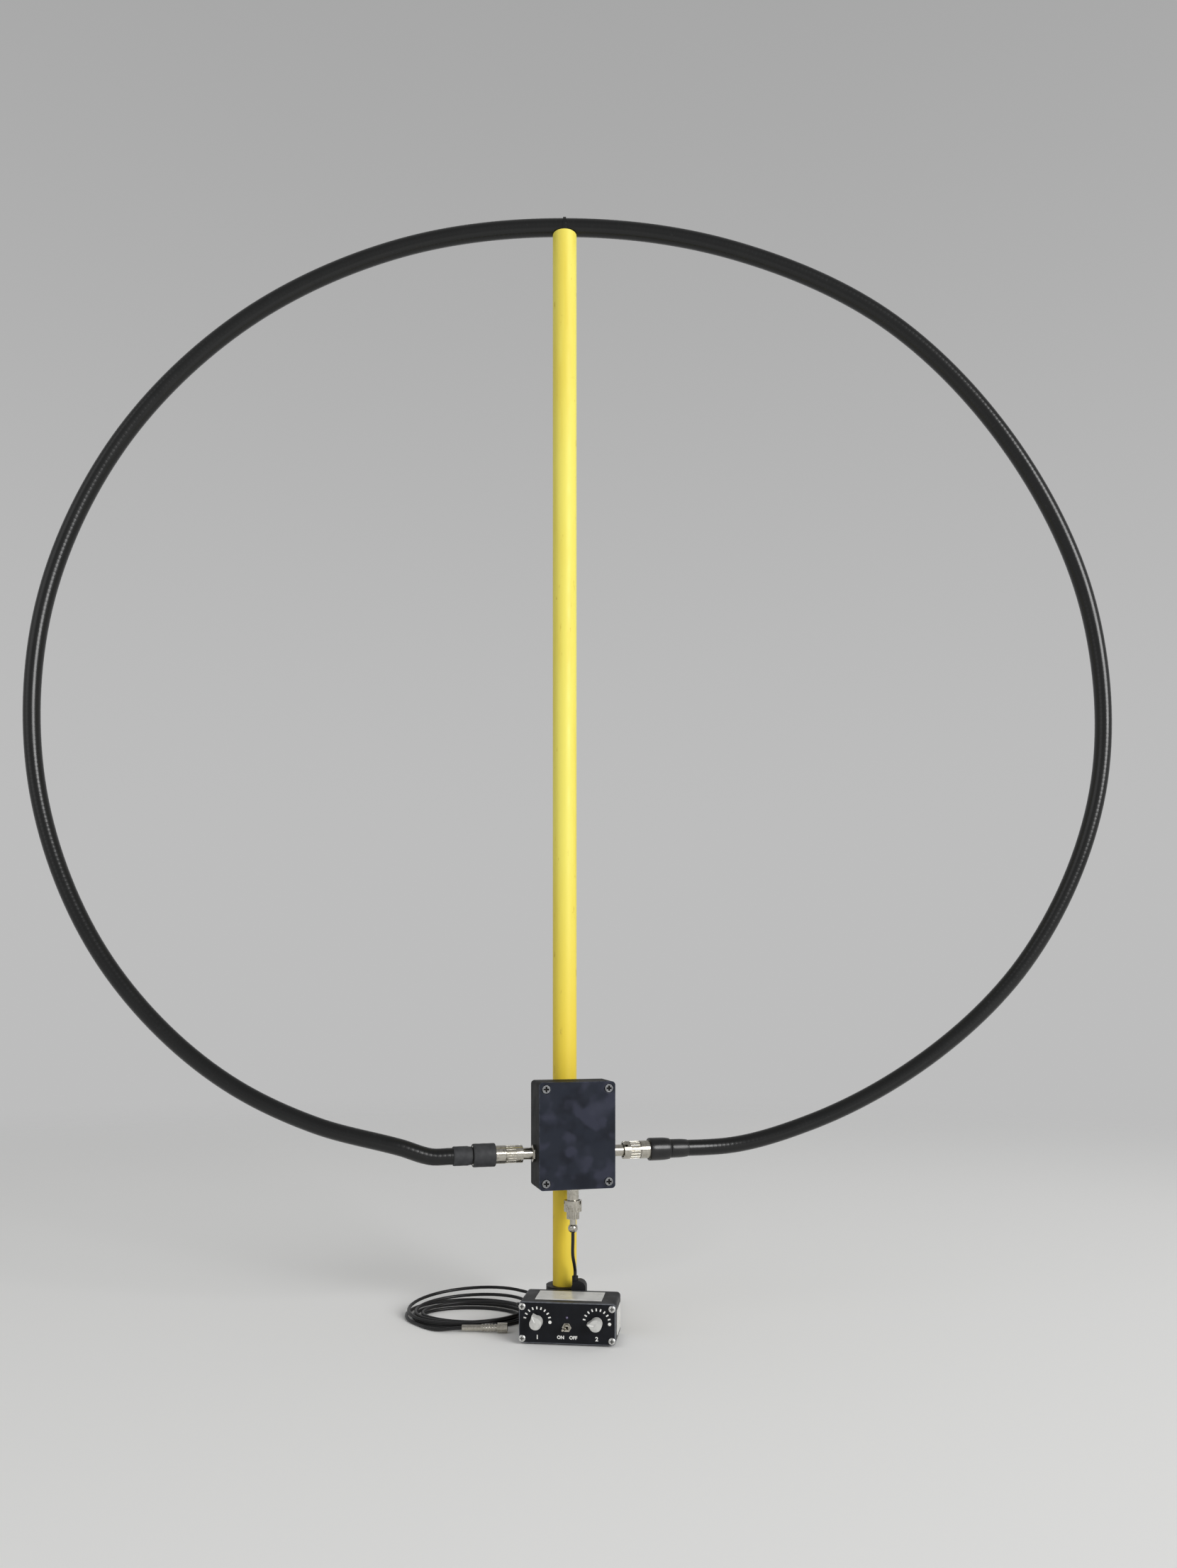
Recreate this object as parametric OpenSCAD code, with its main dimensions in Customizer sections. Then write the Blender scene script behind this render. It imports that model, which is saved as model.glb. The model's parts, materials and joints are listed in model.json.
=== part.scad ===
// Table-top radio loop antenna: mast and foot, cable loop, matching box, jumper lead, tuner and feedline.
// The origin is on the mast's axis at table level. X is to the right, Y goes back and Z is up.

/* [Mast] */
// Outside diameter of the mast tube
mast_d = 20; // [18:0.5:22]
// Wall of the mast tube
mast_wall = 2; // [1.5:0.1:3]
// Height of the mast's top rim above the table
mast_top = 912; // [880:1:940]
// Depth of the plug in the mast's top end
top_plug_l = 22; // [18:1:40]
// Width of the tie that holds the loop down
tie_w = 2.5; // [2.5:0.1:4.8]
// Thickness of the tie
tie_t = 0.8; // [0.8:0.1:1.6]
// Distance from the mast's rim down to the tie's lower strand
tie_drop = 9; // [7:0.5:14]

/* [Mast foot] */
// Reach of the base plate to the left of the mast's axis
plate_left = 26; // [24:1:27]
// Reach of the base plate to the right
plate_right = 44; // [34:1:60]
// Reach of the base plate to the front
plate_front = 22; // [21.5:0.5:23]
// Reach of the base plate to the back
plate_back = 72; // [50:1:100]
// Thickness of the base plate
plate_t = 6; // [4:0.5:7]
// Corner radius of the base plate
plate_corner = 8; // [3:1:10]
// Distance of the screw-down holes from the plate's sides
fix_inset = 9; // [6:1:12]
// Diameter of the two holes for screwing the plate down
fix_hole_d = 4.5; // [3:0.5:6]
// Distance of the screw-down holes behind the mast's axis
fix_hole_y = 40; // [30:1:45]
// Outside diameter of the mast socket
socket_d = 31; // [28:0.5:32]
// Height of the socket's top edge above the table
socket_top = 32; // [30:0.5:36]
// Floor of the socket under the mast
socket_floor = 3; // [2:0.5:5]
// Diameter of the socket's flange
flange_d = 42; // [42:0.5:43]
// Thickness of the socket's flange
flange_t = 4; // [3:0.5:4.5]
// Diameter of the flange screws
flange_screw_d = 3; // [2.5:0.1:3.4]
// Diameter of the flange screws' heads
flange_head_d = 5.2; // [4.6:0.1:5.4]
// Height of the flange screws' heads
flange_head_t = 2; // [1.5:0.1:2.5]
// Diameter of the clamp screw's thread
clamp_d = 5; // [4:0.5:6]
// Length of the boss that the clamp screw runs in, outside the socket
clamp_boss_l = 4; // [2:0.5:8]
// Diameter of the clamp screw's knob
clamp_knob_d = 14; // [10:1:16]
// Length of the clamp screw's knob
clamp_knob_l = 9; // [6:1:14]

/* [Loop] */
// Width of the loop over its cable
loop_w = 902; // [870:1:930]
// Outside diameter of the loop's cable
loop_d = 13.6; // [12.6:0.1:14]

/* [Matching box] */
// Width of the box
box_w = 63; // [56:1:70]
// Height of the box
box_h = 86.5; // [80:0.5:95]
// Depth of the box without its lid
box_d = 29; // [27:1:34]
// Wall of the box
box_wall = 2.5; // [2:0.1:3]
// Rounding of the box's upright edges and of the lid's corners
box_corner = 3; // [1:0.5:3.5]
// Thickness of the lid
lid_t = 3; // [2.6:0.1:4]
// Height of the box's bottom above the table
box_z = 118.5; // [110:0.5:130]
// Angle that the box is turned round the mast
box_yaw = 15; // [10:1:18]
// Gap between the box and the mast, filled by the saddles
saddle_gap = 2; // [1.5:0.5:4]
// Width of each saddle
saddle_w = 16; // [12:1:18]
// Height of each saddle
saddle_h = 14; // [10:1:18]
// Height of the side couplings above the box's bottom
jack_rise = 28.2; // [26:0.1:34]
// Distance of the lid screws from the lid's edges
lid_screw_inset = 5.5; // [5.5:0.1:6.5]
// Diameter of the lid screws' heads
lid_head_d = 6.6; // [5:0.2:7]
// Height of the lid screws' heads
lid_head_t = 1.8; // [1.2:0.1:2]
// Diameter of the lid screws' shanks
lid_screw_d = 3; // [2.5:0.1:3.5]
// Length of the lid screws' shanks below the head
lid_screw_l = 12; // [8:1:20]
// Diameter of the posts that the lid screws run into
lid_post_d = 8; // [7:0.2:8.4]
// Diameter of the bolts that hold the box to the mast
box_bolt_d = 4; // [3:0.5:5]
// Height of the lower bolt above the box's bottom
box_bolt_low = 16; // [12:1:20]
// Height of the upper bolt above the box's bottom
box_bolt_high = 70; // [60:1:72]

/* [Matching transformer] */
// Thickness of the circuit boards
board_t = 1.6; // [1:0.2:2]
// Mean diameter of the cores
core_d = 17; // [16:0.5:18]
// Radial width of the cores
core_w = 5; // [4:0.5:5.5]
// Height of the cores
core_h = 8; // [6:0.5:8.5]
// Turns of wire on each core
core_turns = 8; // [5:1:10]
// Diameter of the winding wire
wire_d = 0.9; // [0.6:0.1:1]

/* [Bayonet couplings] */
// Diameter over the corners of each jack's hexagon
jack_hex_d = 14.4; // [12:0.2:15]
// Thickness of each jack's hexagon
jack_hex_t = 2.5; // [2:0.1:4]
// Outside diameter of each jack's barrel
jack_barrel_d = 9.6; // [9:0.1:9.8]
// Length of each jack's barrel outside the box
jack_barrel_l = 14; // [13:0.5:14.2]
// Bore of each jack's barrel
jack_bore_d = 8.3; // [8.2:0.1:8.6]
// Diameter of each jack's thread through the box's wall
jack_thread_d = 9.4; // [8:0.1:9.5]
// Length of each jack's thread inside the box
jack_tail = 7; // [5:0.5:9]
// Diameter of each jack's inner pin
jack_pin_d = 1.4; // [1:0.1:2]
// Length of each jack's inner pin
jack_pin_l = 6; // [4:0.5:8]
// Thickness of the nuts on the jacks
jack_nut_t = 2.4; // [2:0.1:3]
// Diameter over the corners of the nuts on the jacks
jack_nut_d = 14; // [12:0.2:15]
// Outside diameter of the bayonet rings
ring_d = 14.5; // [13.6:0.1:15]
// Distance of each bayonet ring from the box's wall
ring_start = 11; // [10.5:0.1:11.2]
// Length of the loop's bayonet rings
ring_l = 14; // [12:0.5:16]
// Length of the jumper's bayonet ring
short_ring_l = 9; // [8:0.5:11]
// Inside diameter of the rings' open ends
ring_mouth_d = 11.8; // [11.6:0.1:12]
// Depth of the rings' open ends
ring_mouth_l = 5; // [4.8:0.1:5.5]
// Diameter of the plugs' journals in the rings
journal_d = 9.9; // [9:0.1:10]
// Grip grooves round each ring
grip_count = 18; // [12:1:24]
// Diameter of each grip groove
grip_d = 1; // [0.6:0.1:1.2]

/* [Loop ends] */
// Diameter of the bright collar on each loop plug
collar_d = 14.8; // [14:0.1:16]
// Length of the bright collar
collar_l = 7.7; // [6:0.1:10]
// Diameter of each loop plug's shell inside the big sleeve
shell_d = 16; // [14.6:0.1:16.6]
// Length of each loop plug's shell
shell_l = 18; // [14:0.5:22]
// Wall of the big sleeves
big_sleeve_wall = 1.4; // [0.8:0.1:2]
// Length of the small sleeves
small_sleeve_l = 15.4; // [10:0.1:20]
// Wall of the small sleeves
small_sleeve_wall = 0.95; // [0.6:0.05:1.2]

/* [Jumper] */
// Diameter of the jumper lead
jumper_d = 2.7; // [2.2:0.1:3.2]
// Diameter of the knurled nut on the jumper's plug
jumper_nut_d = 10.4; // [9:0.1:12]
// Length of the knurled nut
jumper_nut_l = 5.9; // [4:0.1:8]
// Diameter of the jumper plug's neck
jumper_neck_d = 5; // [4:0.1:6]
// Length of the jumper plug's neck
jumper_neck_l = 4.6; // [3:0.1:6]
// Diameter of the round ferrule at the lead's top end
ferrule_d = 8; // [7:0.1:9]
// Length of the ferrule
ferrule_l = 6.4; // [5:0.1:7]

/* [Tuner] */
// Width of the tuner
tuner_w = 76.5; // [75:0.5:80]
// Height of the tuner's case
tuner_h = 32.5; // [32:0.5:36]
// Depth of the tuner over both panels
tuner_d = 40; // [39.5:0.1:41]
// Height of the tuner's feet
foot_t = 1.5; // [1:0.1:2]
// Diameter of the tuner's feet
foot_d = 8; // [6:0.5:10]
// Corner radius of the tuner
tuner_corner = 3; // [1.5:0.5:4]
// Wall of the tuner's case
tuner_wall = 2; // [1.5:0.1:2.2]
// Thickness of the tuner's panels
panel_t = 1.6; // [1.2:0.1:2]
// Angle that the tuner is turned
tuner_yaw = -7.1; // [-9:0.1:-5]
// Sideways distance of the panel screws from the middle
screw_x = 35.5; // [35:0.1:35.8]
// Upright distance of the panel screws from the middle
screw_z = 12.5; // [12:0.1:13]
// Diameter of the panel screws' heads
screw_head_d = 5.4; // [4:0.1:5.4]
// Height of the panel screws' heads
screw_head_t = 1.9; // [1.5:0.1:2.5]
// Diameter of the panel screws' shanks
screw_d = 2.6; // [2:0.1:3]
// Length of the panel screws' shanks
screw_l = 9; // [6:0.5:12]
// Sideways distance of the knobs from the middle
knob_x = 23.5; // [23.4:0.1:24]
// Height of the knobs' axes above the table
knob_z = 19.2; // [18.8:0.1:20]
// Diameter of the knobs
knob_d = 9.5; // [8:0.5:12]
// Distance of each knob's pointer tip from its axis
knob_tip = 7; // [6.6:0.1:9]
// Height of the knobs in front of the panel
knob_l = 10.5; // [8:0.5:14]
// Angle of the left pointer, anticlockwise from upright
load_angle = 24; // [-80:1:80]
// Angle of the right pointer, anticlockwise from upright
tune_angle = 84; // [-80:1:90]
// Diameter of the knobs' shafts
shaft_d = 6; // [5:0.5:6]
// Width and height of the variable capacitors
cap_w = 18; // [17:0.5:18]
// Depth of the variable capacitors
cap_d = 12; // [11:0.5:14]
// Height of the switch above the table
switch_z = 15; // [14.6:0.1:15.6]
// Diameter of the switch's bush
bush_d = 5.2; // [5:0.1:6]
// Length of the switch's bush in front of the panel
bush_l = 3.5; // [3.2:0.1:4.5]
// Diameter of the switch's lever
lever_d = 1.8; // [1.4:0.1:1.8]
// Length of the switch's lever from its pivot
lever_l = 8; // [6:0.5:10]
// Angle that the lever leans to each side
lever_lean = 15; // [10:1:15]
// Height of the lamp above the table
lamp_z = 22.4; // [22:0.1:25]
// Diameter of the lamp
lamp_d = 2; // [2:0.5:3.5]
// Width of the pale plate on the tuner's top
top_plate_w = 53; // [40:1:66]
// Depth of the pale plate on the tuner's top
top_plate_d = 25.5; // [20:0.5:30]
// Width of the pale plate on the tuner's right side
side_plate_w = 24; // [16:1:30]
// Height of the pale plate on the tuner's right side
side_plate_h = 20; // [14:1:24]
// Thickness of the pale plates
plate_skin = 0.8; // [0.5:0.1:1.2]

/* [Rear sockets] */
// Sideways place of the antenna socket, from the middle
ant_x = 3.5; // [3:0.1:5]
// Height of the antenna socket above the table
ant_z = 26; // [25.5:0.1:26.4]
// Sideways place of the radio socket, from the middle
radio_x = -26; // [-26.5:0.1:-25.5]
// Height of the radio socket above the table
radio_z = 18; // [17:0.1:19]
// Diameter of the sockets' barrels
socket_barrel_d = 8.3; // [7:0.1:9]
// Length of the sockets' barrels behind the panel
socket_barrel_l = 8; // [6:0.5:8.5]
// Diameter of the sockets' flanges and nuts
socket_flange_d = 11; // [10:0.2:11.4]
// Thickness of the sockets' flanges and nuts
socket_flange_t = 1.5; // [1:0.1:2]
// Length of the sockets' threads inside the case
socket_tail = 6; // [4:0.5:8]
// Width of the angled plugs
end_plug_w = 11.7; // [11:0.1:12]
// Depth of the angled plugs
end_plug_d = 10.4; // [9.5:0.1:10.6]
// Height of the jumper's angled plug above the table
jumper_plug_top = 41; // [38:0.5:46]
// Drop of the jumper's angled plug below its socket
jumper_plug_drop = 6.5; // [6:0.1:7]
// Length of the sleeve on each angled plug
boot_l = 6; // [4:0.5:7]
// Diameter of the sleeve on each angled plug
boot_d = 5; // [4:0.1:5.2]

/* [Feedline] */
// Diameter of the feedline
feed_d = 2.8; // [2.2:0.1:2.8]
// Half width of the coil's outermost loop, at the feedline's middle
coil_wide = 55; // [52:0.5:55]
// Half depth of the coil's outermost loop
coil_deep = 49; // [46:0.5:50]
// Loops in each layer of the coil
coil_turns = 2.5; // [1.5:1:2.5]
// Step between the two layers
coil_layer = 3.3; // [3.3:0.1:3.6]
// Rise of the upper layer's outermost loop at the coil's back right
coil_lift = 8; // [4:0.5:10]
// Diameter of the plug's screw nut
feed_nut_d = 8; // [7.6:0.1:9]
// Length of the plug's screw nut
feed_nut_l = 8; // [6:0.5:10]
// Length of the plug's ribbed ferrule
feed_ferrule_l = 13; // [10:0.5:16]
// Diameter of the plug's ribbed ferrule
feed_ferrule_d = 6; // [5.6:0.1:6.6]
// Length of the sleeve behind the ferrule
feed_boot_l = 16; // [10:0.5:18]
// Diameter of the sleeve behind the ferrule
feed_boot_d = 4.8; // [4:0.1:5.2]

/* [Fits] */
// Radial clearance of a turning fit
run_fit = 0.05; // [0.02:0.01:0.1]
// Radial clearance of a fixed fit
snug_fit = 0.05; // [0.02:0.01:0.1]
// Gap between faces that pass each other
pass_gap = 0.3; // [0.3:0.05:0.5]

/* [Hidden] */
$fn = 48;

// Overlap that joins pieces of one solid, and overshoot of cuts
join = 0.1;
cut = 1;

// Heights in the foot
plate_top = plate_t;
mast_foot = plate_top + socket_floor + join;
mast_r = mast_d / 2;
mast_bore_d = mast_d - 2 * mast_wall;
clamp_z = (plate_top + flange_t + socket_top) / 2;
plug_sink = 0.5;
tie_reach = 4;
tie_gap = 0.1;
clamp_start = socket_d / 2 + clamp_boss_l;
flange_screw_r = (socket_d + flange_d) / 4;
flange_screw_l = plate_t + flange_t - 2;

// Places in the matching box, whose frame turns round the mast's axis
box_back = mast_r + saddle_gap;
box_front = box_back + box_d;
lid_front = box_front + lid_t;
jack_y = (box_back + lid_front) / 2;
axis_z = box_z + jack_rise;
lid_screw_x = box_w / 2 - lid_screw_inset;
lid_screw_z = box_h / 2 - lid_screw_inset;
lid_recess = 1.2;
bolt_head_d = 7;
bolt_head_t = 2.6;
bolt_nut_t = 3.2;
bolt_nut_d = 8;
bolt_tail = 1.5;
bolt_heights = [box_z + box_bolt_low, box_z + box_bolt_high];
tail_depth = box_wall + jack_tail;

// Stations along a coupling, counted outward from the box's wall
stud_d = 2;
stud_at = 12.5;
stud_tip = 5.5;
bore_from = 6;
contact_d = 2;
contact_l = 4;
plug_nose_d = jack_bore_d - 0.4;
plug_nose_bore = 5.6;
plug_nose_from = 8;
mouth_end = ring_start + ring_mouth_l;
stop_d = ring_mouth_d - 2 * pass_gap;
stop_t = 0.8;
stop_from = mouth_end - pass_gap - stop_t;
collar_from = ring_start + ring_l + pass_gap;
shell_from = collar_from + collar_l;
shell_end = shell_from + shell_l;
small_from = shell_end + 0.6;
small_end = small_from + small_sleeve_l;
jumper_nut_from = ring_start + short_ring_l + pass_gap;
jumper_neck_from = jumper_nut_from + jumper_nut_l;
ferrule_from = jumper_neck_from + jumper_neck_l;
ferrule_end = ferrule_from + ferrule_l;
slot_w = stud_d + 0.8;

// Places in the tuner, whose frame has its origin under the middle of the front panel
tuner_x = 3.1;
tuner_behind = 27;
tuner_y = -tuner_behind - tuner_d;
case_mid = foot_t + tuner_h / 2;
case_top = foot_t + tuner_h;
inner_w = tuner_w - 2 * tuner_wall;
board_top = knob_z - cap_w / 2;
cap_y = panel_t + 0.4;
knob_gap = 0.4;
knob_cap = 1.5;
knob_collar_d = 9;
knob_collar_l = 1.5;
nub_angle = 28;
rotor_gap = 2.5;
rotor_r = cap_w / 2 - 1.6;
pivot_d = 3;
channel_d = 5.2;
ledge_w = 2;
ledge_h = 2;
foot_inset = 9;
pivot_y = -1.5;
switch_w = 8;
switch_h = 2 * (switch_z - board_top);
switch_d = 8;
slot_x = 3.4;
slot_z = 2.5;
pin_d = 1.2;
pin_l = 4.2;
switch_nut_d = 7.6;
switch_nut_t = 1.6;
lamp_rim_d = lamp_d + 0.8;
lamp_body_l = 4.6;
lamp_leg_d = 0.5;
lamp_leg_x = 0.3 * lamp_d;
lamp_leg_y = panel_t + switch_d + 0.6;
tuner_core_y = 24.4;
end_plug_y = tuner_d + socket_flange_t + 0.2;
end_plug_mid = end_plug_y + end_plug_d / 2;
boot_shift = 3.4;
radio_plug_h = 12;

// Wound forms: sides of a small tube, rings in each loop
tube_sides = 6;
loop_rings = 24;
cord_sides = 8;
cable_sides = 12;
wind_a = core_w / 2 + wire_d / 2 + 0.6;
wind_b = core_h / 2 + wire_d / 2 + 0.7;
core_round = 2;
core_lift = wind_b + wire_d / 2 + 0.1;
wind_span = 300;

// Route of the loop's cable between its straight ends: X, Y and height above the side couplings
loop_route = [
    [-128, -61, 8], [-195, -58, 25], [-260, -52, 54], [-368, -41, 154], [-428, -30, 294], [-427, -22, 447],
    [-368, -14, 586], [-265, -8, 691], [-137, -3, 753], [0, 0, 772], [137, 1, 755], [268, 2, 698],
    [373, 3, 594], [441, 4, 456], [449, 4, 299], [388, 6, 155], [274, 8, 53], [207, 9, 20], [137, 6, 1]
];
route_rise = 772;
route_w = 888.4;
sleeve_clear = 3;
bend_room = 12;
loop_top = mast_top + loop_d / 2 + pass_gap;
loop_straight = small_end + sleeve_clear;
loop_bend = loop_straight + bend_room;
loop_steps = 4;

// Middle of the coil's outermost loop, the turn at which it starts, and the coil's lowest height
coil_x = -81.5;
coil_y = 23;
coil_start = -140;
coil_lift_angle = 53;
// Narrowing and shift from each loop to the next one in: close at the front right, fanned out at the back
coil_narrow = [5.8, 9.2];
coil_shift = [0.8, -4.2];
coil_z = feed_d / 2 + 0.1;
coil_loops = 2 * coil_turns + 0.5;
coil_reach = 0.4;

// Feedline plug on the table: where its nut's open end lies
feed_plug_x = -46;
feed_plug_y = -30;
feed_plug_z = feed_nut_d / 2;
feed_stop_d = 5;
feed_neck_d = feed_stop_d - 1;
feed_collar = 1.5;
feed_tail_x = feed_plug_x - feed_nut_l - feed_ferrule_l - feed_boot_l;

// Hand-laid points of the free cords
jumper_route = [[7.2, -26.5, 62], [8.5, -23, 53]];
feed_tail_route = [[-103, -28, 2], [-115, -19, 1.5]];
feed_lead_route = [[-29.5, 42, 12], [-25.5, 27, 10.5], [-28, 11, 12], [-35.5, -1, 15.5], [-38.5, -10, 18]];
cord_steps = 4;

function unit(v) = v / norm(v);
function turn(p, a) = [p.x * cos(a) - p.y * sin(a), p.x * sin(a) + p.y * cos(a), p.z];
function box_point(p) = turn(p, box_yaw);
function tuner_point(p) = turn(p, tuner_yaw) + [tuner_x, tuner_y, 0];

// Smooth curve through hand-laid points: its direction at each of them, and the way to the next
function slope(p, i) = let (last = len(p) - 1)
    i == 0 ? unit(p[1] - p[0])
    : i == last ? unit(p[last] - p[last - 1])
    : let (a = norm(p[i] - p[i - 1]), b = norm(p[i + 1] - p[i]))
        ((p[i] - p[i - 1]) * b / a + (p[i + 1] - p[i]) * a / b) / (a + b);
function between(p, i, t) = let (h = norm(p[i + 1] - p[i]))
    (2 * t ^ 3 - 3 * t ^ 2 + 1) * p[i] + (t ^ 3 - 2 * t ^ 2 + t) * h * slope(p, i)
    + (3 * t ^ 2 - 2 * t ^ 3) * p[i + 1] + (t ^ 3 - t ^ 2) * h * slope(p, i + 1);
function spline(p, steps) = let (last = len(p) - 1)
    concat([for (i = [0:last - 1]) for (s = [0:steps - 1]) between(p, i, s / steps)], [p[last]]);

// Direction at each point of a path, and a side vector carried along it without twist
function directions(p) = let (last = len(p) - 1)
    [for (i = [0:last]) unit(p[min(i + 1, last)] - p[max(i - 1, 0)])];
function carried(n, t) = unit(n - (n * t) * t);
function sides(t, seed) = [
    for (i = 0, n = carried(seed, t[0]); i < len(t); i = i + 1, n = carried(n, t[min(i, len(t) - 1)])) n
];

// Round tube swept along a path, with triangle faces
module tube(path, d, count, seed = [0, 0, 1]) {
    t = directions(path);
    n = sides(t, seed);
    last = len(path) - 1;
    rings = [for (i = [0:last]) for (k = [0:count - 1])
        let (a = 360 * k / count) path[i] + d / 2 * (cos(a) * n[i] + sin(a) * cross(t[i], n[i]))];
    walls = [for (i = [0:last - 1]) for (k = [0:count - 1])
        let (a = i * count + k, b = i * count + (k + 1) % count)
        for (f = [[a, a + count, b], [b, a + count, b + count]]) f];
    start = [for (k = [1:count - 2]) [0, k, k + 1]];
    end = [for (k = [1:count - 2]) [last * count, last * count + k + 1, last * count + k]];
    polyhedron(rings, concat(start, walls, end));
}

// Least distance between points of a path that lie at least one loop's share apart
function least_gap(p, skip, d) =
    min([for (i = [0:len(p) - 1 - skip]) for (j = [i + skip:len(p) - 1]) norm(p[i] - p[j])]) - d;

// Rectangle with round corners, from squares and circles
module rounded(w, h, r) {
    square([w - 2 * r, h], center = true);
    square([w, h - 2 * r], center = true);
    for (x = [-1, 1], y = [-1, 1])
        translate([x * (w / 2 - r), y * (h / 2 - r)]) circle(r);
}

// Frames: the turned box, the three couplings with Z outward, and the turned tuner
module in_box() {
    rotate([0, 0, box_yaw]) children();
}

module at_left() {
    in_box() translate([-box_w / 2, -jack_y, axis_z]) rotate([0, -90, 0]) children();
}

module at_right() {
    in_box() translate([box_w / 2, -jack_y, axis_z]) rotate([0, 90, 0]) children();
}

module at_feed() {
    in_box() translate([0, -jack_y, box_z]) rotate([180, 0, 0]) children();
}

module in_tuner() {
    translate([tuner_x, tuner_y, 0]) rotate([0, 0, tuner_yaw]) children();
}

// Along Y from a place on the tuner: Z of the children's frame points to the back
module facing_back(x, y, z) {
    translate([x, y, z]) rotate([-90, 0, 0]) children();
}

// Mast

module mast_tube() {
    color("gold") difference() {
        translate([0, 0, mast_foot]) cylinder(d = mast_d, h = mast_top - mast_foot);
        translate([0, 0, mast_foot - cut]) cylinder(d = mast_bore_d, h = mast_top - mast_foot + 2 * cut);
        in_box() for (z = bolt_heights)
            translate([0, mast_d, z]) rotate([90, 0, 0])
                cylinder(d = box_bolt_d + 2 * snug_fit, h = 2 * mast_d);
    }
}

// Way of the tie down the plug's sides and through it, under a bridge that the tie pulls on
module tie_way() {
    way = tie_w + 2 * pass_gap;
    bridge = tie_reach - pass_gap;
    translate([-way / 2, -mast_r, mast_top - tie_drop - tie_t - pass_gap]) difference() {
        cube([way, mast_d, top_plug_l]);
        translate([-cut, mast_r - bridge, tie_t + 2 * pass_gap])
            cube([way + 2 * cut, 2 * bridge, top_plug_l]);
    }
}

module mast_top_plug() {
    color("dimgray") difference() {
        translate([0, 0, mast_top - top_plug_l])
            cylinder(d = mast_bore_d - 2 * snug_fit, h = top_plug_l - plug_sink);
        tie_way();
    }
}

// Outline of the tie round the loop and the plug's bridge, in the frame of its own plane
module tie_outline(grow) {
    half = tie_reach + grow;
    hull() {
        translate([0, loop_top]) circle(loop_d / 2 + tie_gap + grow, $fn = 32);
        translate([-half, mast_top - tie_drop - grow]) square([2 * half, tie_t]);
    }
}

module loop_tie() {
    head_w = 4;
    head_h = 3.8;
    head_t = 2.6;
    color("black") union() {
        rotate([90, 0, 90]) translate([0, 0, -tie_w / 2]) linear_extrude(tie_w) difference() {
            tie_outline(tie_t);
            tie_outline(0);
        }
        translate([-head_w / 2, loop_d / 2 + tie_gap + tie_t / 2, loop_top - head_h / 2])
            cube([head_w, head_t, head_h]);
    }
}

// Foot

module fix_spots() {
    for (x = [-plate_left + fix_inset, plate_right - fix_inset]) translate([x, fix_hole_y, 0]) children();
}

module base_plate() {
    mid_x = (plate_right - plate_left) / 2;
    mid_y = (plate_back - plate_front) / 2;
    color("dimgray") difference() {
        translate([mid_x, mid_y, 0]) linear_extrude(plate_t)
            rounded(plate_left + plate_right, plate_front + plate_back, plate_corner);
        fix_spots() translate([0, 0, -cut]) cylinder(d = fix_hole_d, h = plate_t + 2 * cut);
        flange_spots() translate([0, 0, plate_top - flange_screw_l + flange_t - cut])
            cylinder(d = flange_screw_d + 2 * snug_fit, h = flange_screw_l + cut);
    }
}

module flange_spots() {
    for (a = [0, 90, 180]) rotate([0, 0, a]) translate([flange_screw_r, 0, 0]) children();
}

module mast_socket() {
    boss_d = 2 * clamp_d + 1;
    color("black") difference() {
        union() {
            translate([0, 0, plate_top]) cylinder(d = socket_d, h = socket_top - plate_top);
            translate([0, 0, plate_top]) cylinder(d = flange_d, h = flange_t);
            facing_back(0, 0, clamp_z) cylinder(d = boss_d, h = clamp_start);
        }
        translate([0, 0, plate_top + socket_floor]) cylinder(d = mast_d + 2 * run_fit, h = socket_top);
        facing_back(0, 0, clamp_z) cylinder(d = clamp_d + 2 * run_fit, h = clamp_start + cut);
        flange_spots() translate([0, 0, plate_top - cut])
            cylinder(d = flange_screw_d + 2 * snug_fit, h = flange_t + 2 * cut);
    }
}

module socket_screws() {
    color("silver") flange_spots() translate([0, 0, plate_top + flange_t]) union() {
        cylinder(d = flange_head_d, h = flange_head_t);
        translate([0, 0, -flange_screw_l + join]) cylinder(d = flange_screw_d, h = flange_screw_l);
    }
}

module mast_clamp_screw() {
    tip = mast_r + pass_gap;
    grips = 12;
    color("black") facing_back(0, 0, clamp_z) difference() {
        union() {
            translate([0, 0, tip]) cylinder(d = clamp_d, h = clamp_start - tip + 1);
            translate([0, 0, clamp_start + pass_gap]) cylinder(d = clamp_knob_d, h = clamp_knob_l);
        }
        for (i = [0:grips - 1]) rotate([0, 0, 360 * i / grips])
            translate([clamp_knob_d / 2, 0, clamp_start]) cylinder(d = 2, h = clamp_knob_l + 2 * cut);
    }
}

// Loop

function loop_end(side, d) = box_point([side * (box_w / 2 + d), -jack_y, axis_z]);
loop_lift = (loop_top - axis_z) / route_rise;
loop_spread = (loop_w - loop_d) / route_w;
loop_points = concat(
    [loop_end(-1, shell_end), loop_end(-1, loop_straight), loop_end(-1, loop_bend)],
    [for (p = loop_route) [p.x * loop_spread, p.y, axis_z + p.z * loop_lift]],
    [loop_end(1, loop_bend), loop_end(1, loop_straight), loop_end(1, shell_end)]
);

module loop_cable() {
    color("black") tube(spline(loop_points, loop_steps), loop_d, cable_sides, [0, 1, 0]);
}

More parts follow.
